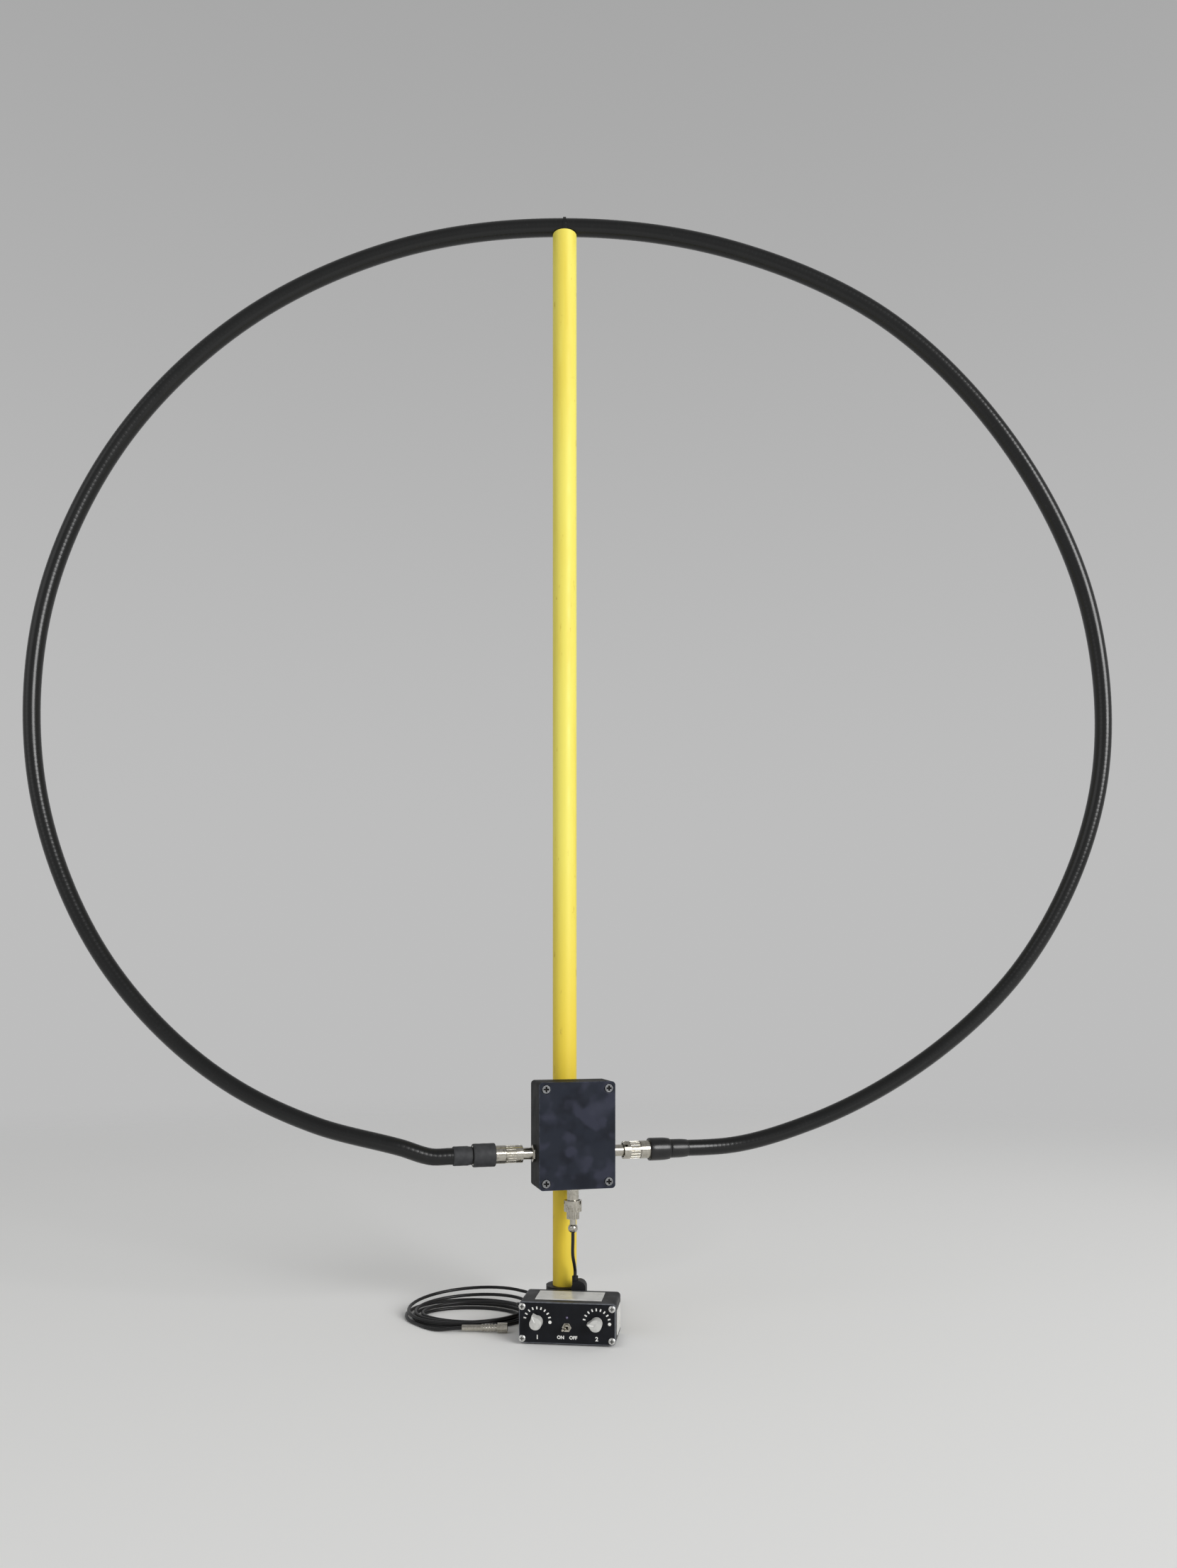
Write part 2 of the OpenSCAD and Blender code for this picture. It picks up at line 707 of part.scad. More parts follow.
module bayonet_ring(length) {
    difference() {
        translate([0, 0, ring_start]) cylinder(d = ring_d, h = length);
        translate([0, 0, ring_start - cut]) cylinder(d = ring_mouth_d, h = ring_mouth_l + cut);
        translate([0, 0, ring_start]) cylinder(d = journal_d + 2 * run_fit, h = length + cut);
        for (a = [0, 180]) rotate([0, 0, a]) translate([0, 0, stud_at]) {
            rotate([0, 90, 0]) cylinder(d = slot_w, h = ring_d);
            rotate([0, 0, 50]) rotate([0, 90, 0]) cylinder(d = slot_w, h = ring_d);
        }
        for (i = [0:grip_count - 1]) rotate([0, 0, 360 * (i + 0.5) / grip_count])
            translate([ring_d / 2, 0, mouth_end + 0.5]) cylinder(d = grip_d, h = length - ring_mouth_l - 1);
    }
}

// Nose, stop and journal that a bayonet ring turns on
module plug_front(journal_end) {
    difference() {
        union() {
            translate([0, 0, plug_nose_from]) cylinder(d = plug_nose_d, h = mouth_end - plug_nose_from);
            translate([0, 0, stop_from]) cylinder(d = stop_d, h = stop_t);
            translate([0, 0, stop_from]) cylinder(d = journal_d, h = journal_end - stop_from + join);
        }
        translate([0, 0, plug_nose_from - cut])
            cylinder(d = plug_nose_bore, h = stop_from - plug_nose_from + cut);
    }
}

module loop_plug() {
    union() {
        plug_front(collar_from);
        translate([0, 0, collar_from]) cylinder(d = collar_d, h = collar_l);
        translate([0, 0, shell_from - join]) cylinder(d = shell_d - 1, h = shell_l + join);
        translate([0, 0, shell_from + 1]) cylinder(d = shell_d, h = shell_l - 1);
    }
}

module big_sleeve() {
    translate([0, 0, shell_from + 0.2]) difference() {
        cylinder(d = shell_d + 2 * snug_fit + 2 * big_sleeve_wall, h = shell_l);
        translate([0, 0, -cut]) cylinder(d = shell_d + 2 * snug_fit, h = shell_l + 2 * cut);
    }
}

module small_sleeve() {
    neck_l = 3;
    bore = loop_d + 2 * snug_fit;
    difference() {
        union() {
            translate([0, 0, small_from]) cylinder(d = bore + small_sleeve_wall, h = small_sleeve_l);
            translate([0, 0, small_from + neck_l])
                cylinder(d = bore + 2 * small_sleeve_wall, h = small_sleeve_l - neck_l);
        }
        translate([0, 0, small_from - cut]) cylinder(d = bore, h = small_sleeve_l + 2 * cut);
    }
}

module left_plug_body() {
    color("silver") at_left() loop_plug();
}

module right_plug_body() {
    color("silver") at_right() loop_plug();
}

module left_bayonet_ring() {
    color("silver") at_left() bayonet_ring(ring_l);
}

module right_bayonet_ring() {
    color("silver") at_right() bayonet_ring(ring_l);
}

module left_big_sleeve() {
    color("dimgray") at_left() big_sleeve();
}

module right_big_sleeve() {
    color("dimgray") at_right() big_sleeve();
}

module left_small_sleeve() {
    color("dimgray") at_left() small_sleeve();
}

module right_small_sleeve() {
    color("dimgray") at_right() small_sleeve();
}

// Matching box

module lid_spots() {
    for (x = [-1, 1], z = [-1, 1])
        translate([x * lid_screw_x, 0, box_z + box_h / 2 + z * lid_screw_z]) children();
}

// Slab of the box's outline between two distances in front of the mast's axis
module box_slab(w, h, r, from, to) {
    translate([0, -from, box_z + box_h / 2]) rotate([90, 0, 0]) linear_extrude(to - from) rounded(w, h, r);
}

module box_shell() {
    color("black") in_box() difference() {
        union() {
            difference() {
                box_slab(box_w, box_h, box_corner, box_back, box_front);
                box_slab(box_w - 2 * box_wall, box_h - 2 * box_wall, 1, box_back + box_wall, box_front + cut);
            }
            lid_spots() intersection() {
                translate([0, -box_back - box_wall + join, 0]) rotate([90, 0, 0])
                    cylinder(d = lid_post_d, h = box_d - box_wall + join);
                cube([2 * lid_screw_inset, 2 * box_front, 2 * lid_screw_inset], center = true);
            }
        }
        lid_spots() translate([0, -box_front + lid_screw_l + cut, 0]) rotate([90, 0, 0])
            cylinder(d = lid_screw_d + 2 * snug_fit, h = lid_screw_l + 2 * cut);
        for (z = bolt_heights) translate([0, 0, z]) rotate([90, 0, 0])
            cylinder(d = box_bolt_d + 2 * snug_fit, h = box_back + box_wall + cut);
        for (x = [-1, 1]) translate([x * box_w / 2, -jack_y, axis_z]) rotate([0, 90, 0])
            cylinder(d = jack_thread_d + 2 * snug_fit, h = 4 * box_wall, center = true);
        translate([0, -jack_y, box_z])
            cylinder(d = jack_thread_d + 2 * snug_fit, h = 4 * box_wall, center = true);
    }
}

module box_lid() {
    lip = 1.5;
    lip_wall = 1.5;
    lip_gap = 0.3;
    lip_w = box_w - 2 * (box_wall + lip_gap);
    lip_h = box_h - 2 * (box_wall + lip_gap);
    color("darkslategray") in_box() difference() {
        union() {
            box_slab(box_w, box_h, box_corner, box_front, lid_front);
            difference() {
                box_slab(lip_w, lip_h, 1, box_front - lip, box_front + join);
                box_slab(lip_w - 2 * lip_wall, lip_h - 2 * lip_wall, 1, box_front - lip - cut, box_front);
                lid_spots() translate([0, -box_front + lip + cut, 0]) rotate([90, 0, 0])
                    cylinder(d = lid_post_d + 2 * lip_gap, h = lip + cut);
            }
        }
        lid_spots() rotate([90, 0, 0]) {
            cylinder(d = lid_screw_d + 2 * snug_fit, h = lid_front + cut);
            translate([0, 0, lid_front - lid_recess]) cylinder(d = lid_head_d + 1.2, h = lid_recess + cut);
        }
    }
}

module lid_screws() {
    slot_long = 0.66 * lid_head_d;
    slot_thin = 1.4;
    slot_deep = 1.3;
    seat = -lid_front + lid_recess;
    color("gray") in_box() lid_spots() translate([0, seat, 0]) rotate([90, 0, 0]) difference() {
        union() {
            cylinder(d = lid_head_d, h = lid_head_t);
            translate([0, 0, lid_recess - lid_t - lid_screw_l + 0.5])
                cylinder(d = lid_screw_d, h = lid_screw_l + lid_t - lid_recess);
        }
        for (a = [0, 90]) rotate([0, 0, a]) translate([0, 0, lid_head_t])
            cube([slot_long, slot_thin, 2 * slot_deep], center = true);
    }
}

module jack() {
    union() {
        difference() {
            union() {
                cylinder(d = jack_hex_d, h = jack_hex_t, $fn = 6);
                cylinder(d = jack_barrel_d, h = jack_barrel_l);
            }
            translate([0, 0, bore_from]) cylinder(d = jack_bore_d, h = jack_barrel_l);
        }
        translate([0, 0, bore_from - join]) cylinder(d = contact_d, h = contact_l);
        for (a = [0, 180]) rotate([0, 0, a]) translate([jack_barrel_d / 2 - 0.4, 0, stud_at])
            rotate([0, 90, 0]) cylinder(d = stud_d, h = stud_tip - jack_barrel_d / 2 + 0.4);
        translate([0, 0, -tail_depth]) cylinder(d = jack_thread_d, h = tail_depth + join);
        translate([0, 0, -tail_depth - jack_pin_l]) cylinder(d = jack_pin_d, h = jack_pin_l + join);
    }
}

module left_jack() {
    color("silver") at_left() jack();
}

module right_jack() {
    color("silver") at_right() jack();
}

module feed_jack() {
    color("silver") at_feed() jack();
}

module jack_nut() {
    translate([0, 0, -box_wall - jack_nut_t]) difference() {
        cylinder(d = jack_nut_d, h = jack_nut_t, $fn = 6);
        translate([0, 0, -cut]) cylinder(d = jack_thread_d + 2 * snug_fit, h = jack_nut_t + 2 * cut);
    }
}

module jack_nuts() {
    color("silver") {
        at_left() jack_nut();
        at_right() jack_nut();
        at_feed() jack_nut();
    }
}

module box_saddles() {
    color("dimgray") in_box() for (z = bolt_heights) difference() {
        translate([-saddle_w / 2, -box_back, z - saddle_h / 2])
            cube([saddle_w, box_back - mast_r / 2, saddle_h]);
        translate([0, 0, z - saddle_h]) cylinder(d = mast_d + 2 * snug_fit, h = 2 * saddle_h);
        translate([0, 0, z]) rotate([90, 0, 0]) cylinder(d = box_bolt_d + 2 * snug_fit, h = 2 * box_back);
    }
}

module box_bolts() {
    head_at = -box_back - box_wall;
    color("silver") in_box() for (z = bolt_heights) union() {
        translate([0, head_at, z]) rotate([90, 0, 0]) cylinder(d = bolt_head_d, h = bolt_head_t);
        facing_back(0, head_at - join, z)
            cylinder(d = box_bolt_d, h = mast_r + bolt_nut_t + bolt_tail - head_at);
    }
}

module box_bolt_nuts() {
    color("silver") in_box() for (z = bolt_heights) facing_back(0, mast_r + 0.1, z) difference() {
        cylinder(d = bolt_nut_d, h = bolt_nut_t, $fn = 6);
        translate([0, 0, -cut]) cylinder(d = box_bolt_d + 2 * snug_fit, h = bolt_nut_t + 2 * cut);
    }
}

board_face = jack_y - jack_pin_d / 2 - snug_fit;
board_low = tail_depth + 0.5;
board_half = box_w / 2 - tail_depth - 0.5;
core_high = 52;
board_drop = 14;

module matching_board() {
    color("darkgreen") in_box() translate([-board_half, -board_face, box_z + board_low])
        cube([2 * board_half, board_t, box_h - board_low - board_drop]);
}

// Ring core with rounded edges, lying flat on the plane Z = 0 with room for its winding
module core() {
    translate([0, 0, core_lift]) rotate_extrude()
        translate([core_d / 2, 0]) rounded(core_w, core_h, core_round);
}

// Wire round a core: straight tails down to the plane Z = 0 at both ends
function wind_angle(i) = wind_span * i / ((core_turns + 0.5) * loop_rings);
function wind_point(i) = let (u = wind_angle(i), v = -360 * i / loop_rings, r = core_d / 2 + wind_a * cos(v))
    [r * cos(u), r * sin(u), core_lift - wind_b * sin(v)];
wind_path = let (last = (core_turns + 0.5) * loop_rings, a = wind_point(0), b = wind_point(last)) concat(
    [[a.x, a.y, 0], [a.x, a.y, wire_d], [a.x, a.y, core_lift / 2]],
    [for (i = [0:last]) wind_point(i)],
    [[b.x, b.y, core_lift / 2], [b.x, b.y, wire_d], [b.x, b.y, 0]]
);

module winding() {
    tube(wind_path, wire_d, tube_sides, [1, 0, 0]);
}

module on_matching_board() {
    in_box() translate([0, -board_face, box_z + core_high]) rotate([90, 0, 0]) children();
}

module matching_core() {
    color("darkgray") on_matching_board() core();
}

module matching_winding() {
    color("orangered") on_matching_board() winding();
}

// Jumper

module jumper_plug_body() {
    grips = 16;
    groove_d = 0.9;
    color("silver") at_feed() union() {
        plug_front(jumper_nut_from);
        difference() {
            translate([0, 0, jumper_nut_from]) cylinder(d = jumper_nut_d, h = jumper_nut_l);
            for (i = [0:grips - 1]) rotate([0, 0, 360 * i / grips])
                translate([jumper_nut_d / 2, 0, jumper_nut_from - cut])
                cylinder(d = groove_d, h = jumper_nut_l + cut);
        }
        translate([0, 0, jumper_neck_from - join]) cylinder(d = jumper_neck_d, h = jumper_neck_l + 2 * join);
        translate([0, 0, ferrule_from]) intersection() {
            cylinder(d = ferrule_d, h = ferrule_l);
            translate([0, 0, ferrule_l / 2]) sphere(d = ferrule_d);
        }
    }
}

module jumper_bayonet_ring() {
    color("silver") at_feed() bayonet_ring(short_ring_l);
}

// Sleeve of the jumper's angled plug, where the lead comes in from above
boot_top = jumper_plug_top - 1 + boot_l - 2;
lead_top = box_z - ferrule_end - pass_gap;
jumper_points = concat(
    [box_point([0, -jack_y, lead_top]), box_point([0, -jack_y, lead_top - 2 * jumper_d])],
    jumper_route,
    [tuner_point([ant_x - boot_shift, end_plug_mid, boot_top + 1.5 * jumper_d]),
     tuner_point([ant_x - boot_shift, end_plug_mid, boot_top])]
);

module jumper_lead() {
    color("black") tube(spline(jumper_points, cord_steps), jumper_d, cord_sides, [1, 0, 0]);
}

module jumper_end_plug() {
    round_z = jumper_plug_top - end_plug_w / 2;
    low = ant_z - jumper_plug_drop;
    bore = socket_barrel_d + 2 * snug_fit;
    color("black") in_tuner() difference() {
        union() {
            translate([ant_x - end_plug_w / 2, end_plug_y, low])
                cube([end_plug_w, end_plug_d, round_z - low]);
            facing_back(ant_x, end_plug_y, round_z) cylinder(d = end_plug_w, h = end_plug_d);
            translate([ant_x - boot_shift, end_plug_mid, round_z])
                cylinder(d = boot_d, h = boot_top - round_z);
        }
        facing_back(ant_x, end_plug_y - cut, ant_z) cylinder(d = bore, h = socket_barrel_l + cut);
    }
}

// Tuner

module screw_spots() {
    for (x = [-1, 1], z = [-1, 1]) translate([x * screw_x, 0, case_mid + z * screw_z]) children();
}

// Slab of the tuner's outline from one depth to another
module tuner_slab(w, h, r, from, to) {
    translate([0, to, case_mid]) rotate([90, 0, 0]) linear_extrude(to - from) rounded(w, h, r);
}

module tuner_case() {
    from = panel_t;
    to = tuner_d - panel_t;
    ledge_z = board_top - board_t - ledge_h;
    color("dimgray") in_tuner() difference() {
        union() {
            difference() {
                tuner_slab(tuner_w, tuner_h, tuner_corner, from, to);
                tuner_slab(inner_w, tuner_h - 2 * tuner_wall, 1, from - cut, to + cut);
            }
            intersection() {
                tuner_slab(tuner_w, tuner_h, tuner_corner, from, to);
                screw_spots() facing_back(0, from, 0) cylinder(d = channel_d, h = to - from);
            }
            for (x = [-1, 1]) translate([x * (inner_w - ledge_w) / 2 - (ledge_w + join) / 2, from, ledge_z])
                cube([ledge_w + join, to - from, ledge_h]);
        }
        screw_spots() facing_back(0, from - cut, 0) cylinder(d = screw_d + 2 * snug_fit, h = tuner_d);
    }
}

module tuner_front_panel() {
    color("black") in_tuner() difference() {
        tuner_slab(tuner_w, tuner_h, tuner_corner, 0, panel_t);
        screw_spots() facing_back(0, -cut, 0) cylinder(d = screw_d + 2 * snug_fit, h = panel_t + 2 * cut);
        for (x = [-knob_x, knob_x]) facing_back(x, -cut, knob_z)
            cylinder(d = shaft_d + 2 * pass_gap, h = panel_t + 2 * cut);
        facing_back(0, -cut, switch_z) cylinder(d = bush_d + 2 * snug_fit, h = panel_t + 2 * cut);
        facing_back(0, -cut, lamp_z) cylinder(d = lamp_d + 2 * snug_fit, h = panel_t + 2 * cut);
    }
}

module tuner_rear_panel() {
    color("black") in_tuner() difference() {
        tuner_slab(tuner_w, tuner_h, tuner_corner, tuner_d - panel_t, tuner_d);
        screw_spots() facing_back(0, tuner_d - panel_t - cut, 0)
            cylinder(d = screw_d + 2 * snug_fit, h = panel_t + 2 * cut);
        for (p = [[ant_x, ant_z], [radio_x, radio_z]]) facing_back(p[0], tuner_d - panel_t - cut, p[1])
            cylinder(d = socket_barrel_d + 2 * snug_fit, h = panel_t + 2 * cut);
    }
}

// Pan-head screw with its head's seat at Z = 0 and its shank along +Z
module pan_screw() {
    dome_r = screw_head_d;
    difference() {
        union() {
            intersection() {
                translate([0, 0, -screw_head_t]) cylinder(d = screw_head_d, h = screw_head_t);
                translate([0, 0, dome_r - screw_head_t]) sphere(dome_r);
            }
            translate([0, 0, -join]) cylinder(d = screw_d, h = screw_l);
        }
        for (a = [0, 90]) rotate([0, 0, a]) translate([0, 0, -screw_head_t])
            cube([0.55 * screw_head_d, 0.9, 1.6], center = true);
    }
}

module panel_screws() {
    color("silver") in_tuner() {
        screw_spots() facing_back(0, 0, 0) pan_screw();
        screw_spots() translate([0, tuner_d, 0]) rotate([90, 0, 0]) pan_screw();
    }
}

module tuner_feet() {
    color("black") in_tuner()
        for (x = [-1, 1], y = [foot_inset, tuner_d - foot_inset])
            translate([x * (tuner_w / 2 - foot_inset), y, 0]) cylinder(d = foot_d, h = foot_t);
}

module tuner_top_plate() {
    color("gainsboro") in_tuner() translate([-top_plate_w / 2, (tuner_d - top_plate_d) / 2, case_top])
        cube([top_plate_w, top_plate_d, plate_skin]);
}

module tuner_side_plate() {
    color("gainsboro") in_tuner()
        translate([tuner_w / 2, (tuner_d - side_plate_w) / 2, case_mid - side_plate_h / 2])
        cube([plate_skin, side_plate_w, side_plate_h]);
}

// Pointer knob with its axis along Y, its back at the panel and its pointer upright
module pointer_knob() {
    flank_x = knob_d / 2 * sin(nub_angle);
    flank_z = knob_d / 2 * cos(nub_angle);
    shaft_in = knob_l - knob_cap - knob_gap;
    rotate([90, 0, 0]) difference() {
        union() {
            translate([0, 0, knob_gap]) cylinder(d = knob_collar_d, h = knob_collar_l);
            translate([0, 0, knob_gap + knob_collar_l - join])
                linear_extrude(knob_l - knob_gap - knob_collar_l + join) union() {
                    circle(d = knob_d);
                    polygon([[-flank_x, flank_z], [0, knob_tip], [flank_x, flank_z], [0, 0]]);
                }
        }
        translate([0, 0, knob_gap - cut]) cylinder(d = shaft_d + 2 * snug_fit, h = shaft_in + cut);
    }
}

// Shaft with its half-round rotor, along Y from the knob into its capacitor
module rotor_shaft() {
    front = knob_l - knob_cap - join;
    vane_from = cap_y + rotor_gap + pass_gap;
    vane_to = cap_y + cap_d - rotor_gap - pass_gap;
    union() {
        facing_back(0, -front, 0) cylinder(d = shaft_d, h = front + vane_to);
        facing_back(0, vane_to - join, 0) cylinder(d = pivot_d, h = cap_d + cap_y - vane_to - 0.5);
        facing_back(0, vane_from, 0) intersection() {
            cylinder(r = rotor_r, h = vane_to - vane_from);
            translate([-rotor_r, 0, 0]) cube([2 * rotor_r, rotor_r, vane_to - vane_from]);
        }
    }
}

module capacitor() {
    difference() {
        translate([-cap_w / 2, cap_y, -cap_w / 2]) cube([cap_w, cap_d, cap_w]);
        facing_back(0, cap_y + rotor_gap, 0) cylinder(r = rotor_r + pass_gap, h = cap_d - 2 * rotor_gap);
        facing_back(0, cap_y - cut, 0) cylinder(d = shaft_d + 2 * run_fit, h = rotor_gap + 2 * cut);
        facing_back(0, cap_y + cap_d / 2, 0) cylinder(d = pivot_d + 2 * run_fit, h = cap_d);
    }
}

module at_load() {
    in_tuner() translate([-knob_x, 0, knob_z]) rotate([0, -load_angle, 0]) children();
}

module at_tune() {
    in_tuner() translate([knob_x, 0, knob_z]) rotate([0, -tune_angle, 0]) children();
}

module load_knob() {
    color("lightgray") at_load() pointer_knob();
}

module tune_knob() {
    color("lightgray") at_tune() pointer_knob();
}

module load_shaft() {
    color("silver") at_load() rotor_shaft();
}

module tune_shaft() {
    color("silver") at_tune() rotor_shaft();
}

module load_capacitor() {
    color("white") in_tuner() translate([-knob_x, 0, knob_z]) capacitor();
}

module tune_capacitor() {
    color("white") in_tuner() translate([knob_x, 0, knob_z]) capacitor();
}

module switch_body() {
    color("silver") in_tuner() translate([0, 0, switch_z]) difference() {
        union() {
            translate([-switch_w / 2, panel_t, -switch_h / 2]) cube([switch_w, switch_d, switch_h]);
            facing_back(0, -bush_l, 0) cylinder(d = bush_d, h = bush_l + panel_t + join);
        }
        translate([-slot_x / 2, -bush_l - cut, -slot_z / 2]) cube([slot_x, bush_l + cut, slot_z]);
        translate([0, pivot_y, 0]) cylinder(d = pin_d + 2 * run_fit, h = pin_l + 2 * pass_gap, center = true);
    }
}

module switch_nut() {
    color("silver") in_tuner() facing_back(0, -switch_nut_t, switch_z) difference() {
        cylinder(d = switch_nut_d, h = switch_nut_t, $fn = 6);
        translate([0, 0, -cut]) cylinder(d = bush_d + 2 * snug_fit, h = switch_nut_t + 2 * cut);
    }
}

module switch_lever() {
    ball_d = 1.9;
    tip_d = lever_d + 0.5;
    color("silver") in_tuner() translate([0, pivot_y, switch_z]) union() {
        cylinder(d = pin_d, h = pin_l, center = true);
        rotate([90, 0, -lever_lean]) {
            sphere(d = ball_d);
            cylinder(d = lever_d, h = lever_l);
            translate([0, 0, lever_l]) sphere(d = tip_d);
        }
    }
}

module tune_lamp() {
    color("slategray") in_tuner() translate([0, 0, lamp_z]) union() {
        sphere(d = lamp_d);
        facing_back(0, 0, 0) cylinder(d = lamp_d, h = panel_t + lamp_body_l);
        facing_back(0, panel_t + join, 0) cylinder(d = lamp_rim_d, h = 1);
        for (x = [-1, 1]) translate([x * lamp_leg_x, 0, 0]) {
            facing_back(0, panel_t + lamp_body_l - join, 0)
                cylinder(d = lamp_leg_d, h = lamp_leg_y - panel_t - lamp_body_l + join);
            translate([0, lamp_leg_y, board_top - lamp_z]) cylinder(d = lamp_leg_d, h = lamp_z - board_top);
            translate([0, lamp_leg_y, 0]) sphere(d = lamp_leg_d);
        }
    }
}

module tuner_board() {
    inset = 0.3;
    from = panel_t + 1;
    color("darkgreen") in_tuner() translate([-inner_w / 2 + inset, from, board_top - board_t])
        cube([inner_w - 2 * inset, tuner_d - panel_t - 1 - from, board_t]);
}

module on_tuner_board() {
    in_tuner() translate([0, tuner_core_y, board_top]) children();
}

module tuner_core() {
    color("firebrick") on_tuner_board() core();
}

module tuner_winding() {
    color("orangered") on_tuner_board() winding();
}

module rear_socket() {
    inside = tuner_d - panel_t;
    contact_bore = 3.2;
    union() {
        facing_back(0, tuner_d, 0) cylinder(d = socket_flange_d, h = socket_flange_t);
        difference() {
            facing_back(0, inside - socket_tail, 0)
                cylinder(d = socket_barrel_d, h = socket_tail + panel_t + socket_flange_t + socket_barrel_l);
            facing_back(0, tuner_d + socket_flange_t, 0)
                cylinder(d = contact_bore, h = socket_barrel_l + cut);
        }
        facing_back(0, inside - socket_flange_t, 0) cylinder(d = socket_flange_d, h = socket_flange_t);
    }
}

module rear_sockets() {
    color("silver") in_tuner() {
        translate([ant_x, 0, ant_z]) rear_socket();
        translate([radio_x, 0, radio_z]) rear_socket();
    }
}

// Feedline

module feedline_end_plug() {
    bore = socket_barrel_d + 2 * snug_fit;
    side = radio_x - end_plug_w / 2;
    color("black") in_tuner() difference() {
        union() {
            translate([side, end_plug_y, radio_z - radio_plug_h / 2])
                cube([end_plug_w, end_plug_d, radio_plug_h]);
            translate([side + join, end_plug_mid, radio_z]) rotate([0, -90, 0])
                cylinder(d = boot_d, h = boot_l + join);
        }
        facing_back(radio_x, end_plug_y - cut, radio_z) cylinder(d = bore, h = socket_barrel_l + cut);
    }
}

// Coil: clockwise from the outside in, up a layer in half a turn and out again
function coil_step(t) = coil_loops / 2 - abs(t - coil_loops / 2);
function coil_height(t, a) = coil_z + coil_layer * max(0, min(1, (t - coil_turns) / 0.5))
    + coil_lift * max(0, (t - coil_turns - 0.5) / coil_turns) * (1 + cos(a - coil_lift_angle)) / 2;
function coil_point(t) = let (a = coil_start - 360 * t, s = coil_step(t))
    [coil_x + coil_shift.x * s + (coil_wide - coil_narrow.x * s) * cos(a),
     coil_y + coil_shift.y * s + (coil_deep - coil_narrow.y * s) * sin(a), coil_height(t, a)];
coil_count = round(coil_loops * loop_rings);
coil_path = [for (i = [0:coil_count]) coil_point(coil_loops * i / coil_count)];
coil_first = unit(coil_path[0] - coil_path[1]);
coil_last = unit(coil_path[coil_count] - coil_path[coil_count - 1]);
echo(coil_least_gap = least_gap(coil_path, loop_rings / 2, feed_d));
echo(winding_least_gap = least_gap(wind_path, loop_rings / 2, wire_d));

module feedline_coil() {
    color("black") tube(coil_path, feed_d, tube_sides);
}

// Two free stretches: from the plug to the coil's first loop, and from its last loop to the tuner
lead_end = [radio_x - end_plug_w / 2 - boot_l, end_plug_mid, radio_z];
tail_points = concat(
    [[feed_tail_x, feed_plug_y, feed_plug_z], [feed_tail_x - 2 * feed_d, feed_plug_y, feed_plug_z - 0.5]],
    feed_tail_route,
    [coil_path[0] + 2 * feed_d * coil_first, coil_path[0] + coil_reach * coil_first]
);
lead_points = concat(
    [coil_path[coil_count] + coil_reach * coil_last, coil_path[coil_count] + 2 * feed_d * coil_last],
    feed_lead_route,
    [tuner_point(lead_end - [1.5 * feed_d, 0, 0]), tuner_point(lead_end)]
);

module feedline_tail() {
    color("black") tube(spline(tail_points, cord_steps), feed_d, cord_sides);
}

module feedline_lead() {
    color("black") tube(spline(lead_points, cord_steps), feed_d, cord_sides);
}

// Along the plug on the table: Z of the children's frame points to its open end
module on_feed_plug() {
    translate([feed_plug_x, feed_plug_y, feed_plug_z]) rotate([0, 90, 0]) children();
}

module feedline_plug_body() {
    ribs = 5;
    rib_step = feed_ferrule_l / ribs;
    rib_share = 0.6;
    neck_back = 2;
    stop_l = 1;
    neck_from = -feed_nut_l - pass_gap - join;
    color("silver") on_feed_plug() union() {
        translate([0, 0, -feed_nut_l - feed_ferrule_l])
            cylinder(d = feed_ferrule_d - 1, h = feed_ferrule_l - pass_gap);
        for (i = [1:ribs]) translate([0, 0, -feed_nut_l - i * rib_step])
            cylinder(d = feed_ferrule_d, h = rib_share * rib_step);
        translate([0, 0, neck_from]) cylinder(d = feed_neck_d, h = -neck_back - neck_from);
        translate([0, 0, -feed_nut_l + feed_collar + pass_gap]) cylinder(d = feed_stop_d, h = stop_l);
        translate([0, 0, -feed_nut_l - feed_ferrule_l - feed_boot_l])
            cylinder(d = feed_boot_d, h = feed_boot_l + join);
    }
}

module feedline_plug_nut() {
    grips = 16;
    groove_d = 0.6;
    groove_l = 0.7 * feed_nut_l;
    color("silver") on_feed_plug() translate([0, 0, -feed_nut_l]) difference() {
        cylinder(d = feed_nut_d, h = feed_nut_l);
        translate([0, 0, feed_collar]) cylinder(d = feed_stop_d + 2 * pass_gap, h = feed_nut_l);
        translate([0, 0, -cut]) cylinder(d = feed_neck_d + 2 * run_fit, h = feed_nut_l);
        for (i = [0:grips - 1]) rotate([0, 0, 360 * (i + 0.5) / grips])
            translate([feed_nut_d / 2, 0, -cut]) cylinder(d = groove_d, h = groove_l + cut);
    }
}

mast_tube();
mast_top_plug();
loop_tie();
base_plate();
mast_socket();
socket_screws();
mast_clamp_screw();
loop_cable();
left_plug_body();
right_plug_body();
left_bayonet_ring();
right_bayonet_ring();
left_big_sleeve();
right_big_sleeve();
left_small_sleeve();
right_small_sleeve();
box_shell();
box_lid();
lid_screws();
left_jack();
right_jack();
feed_jack();
jack_nuts();
box_saddles();
box_bolts();
box_bolt_nuts();
matching_board();
matching_core();
matching_winding();
jumper_plug_body();
jumper_bayonet_ring();
jumper_lead();
jumper_end_plug();
tuner_case();
tuner_front_panel();
tuner_rear_panel();
panel_screws();
tuner_feet();
tuner_top_plate();
tuner_side_plate();
load_knob();
tune_knob();
load_shaft();
tune_shaft();
load_capacitor();
tune_capacitor();
switch_body();
switch_nut();
switch_lever();
tune_lamp();
tuner_board();
tuner_core();
tuner_winding();
rear_sockets();
feedline_end_plug();
feedline_coil();
feedline_tail();
feedline_lead();
feedline_plug_body();
feedline_plug_nut();
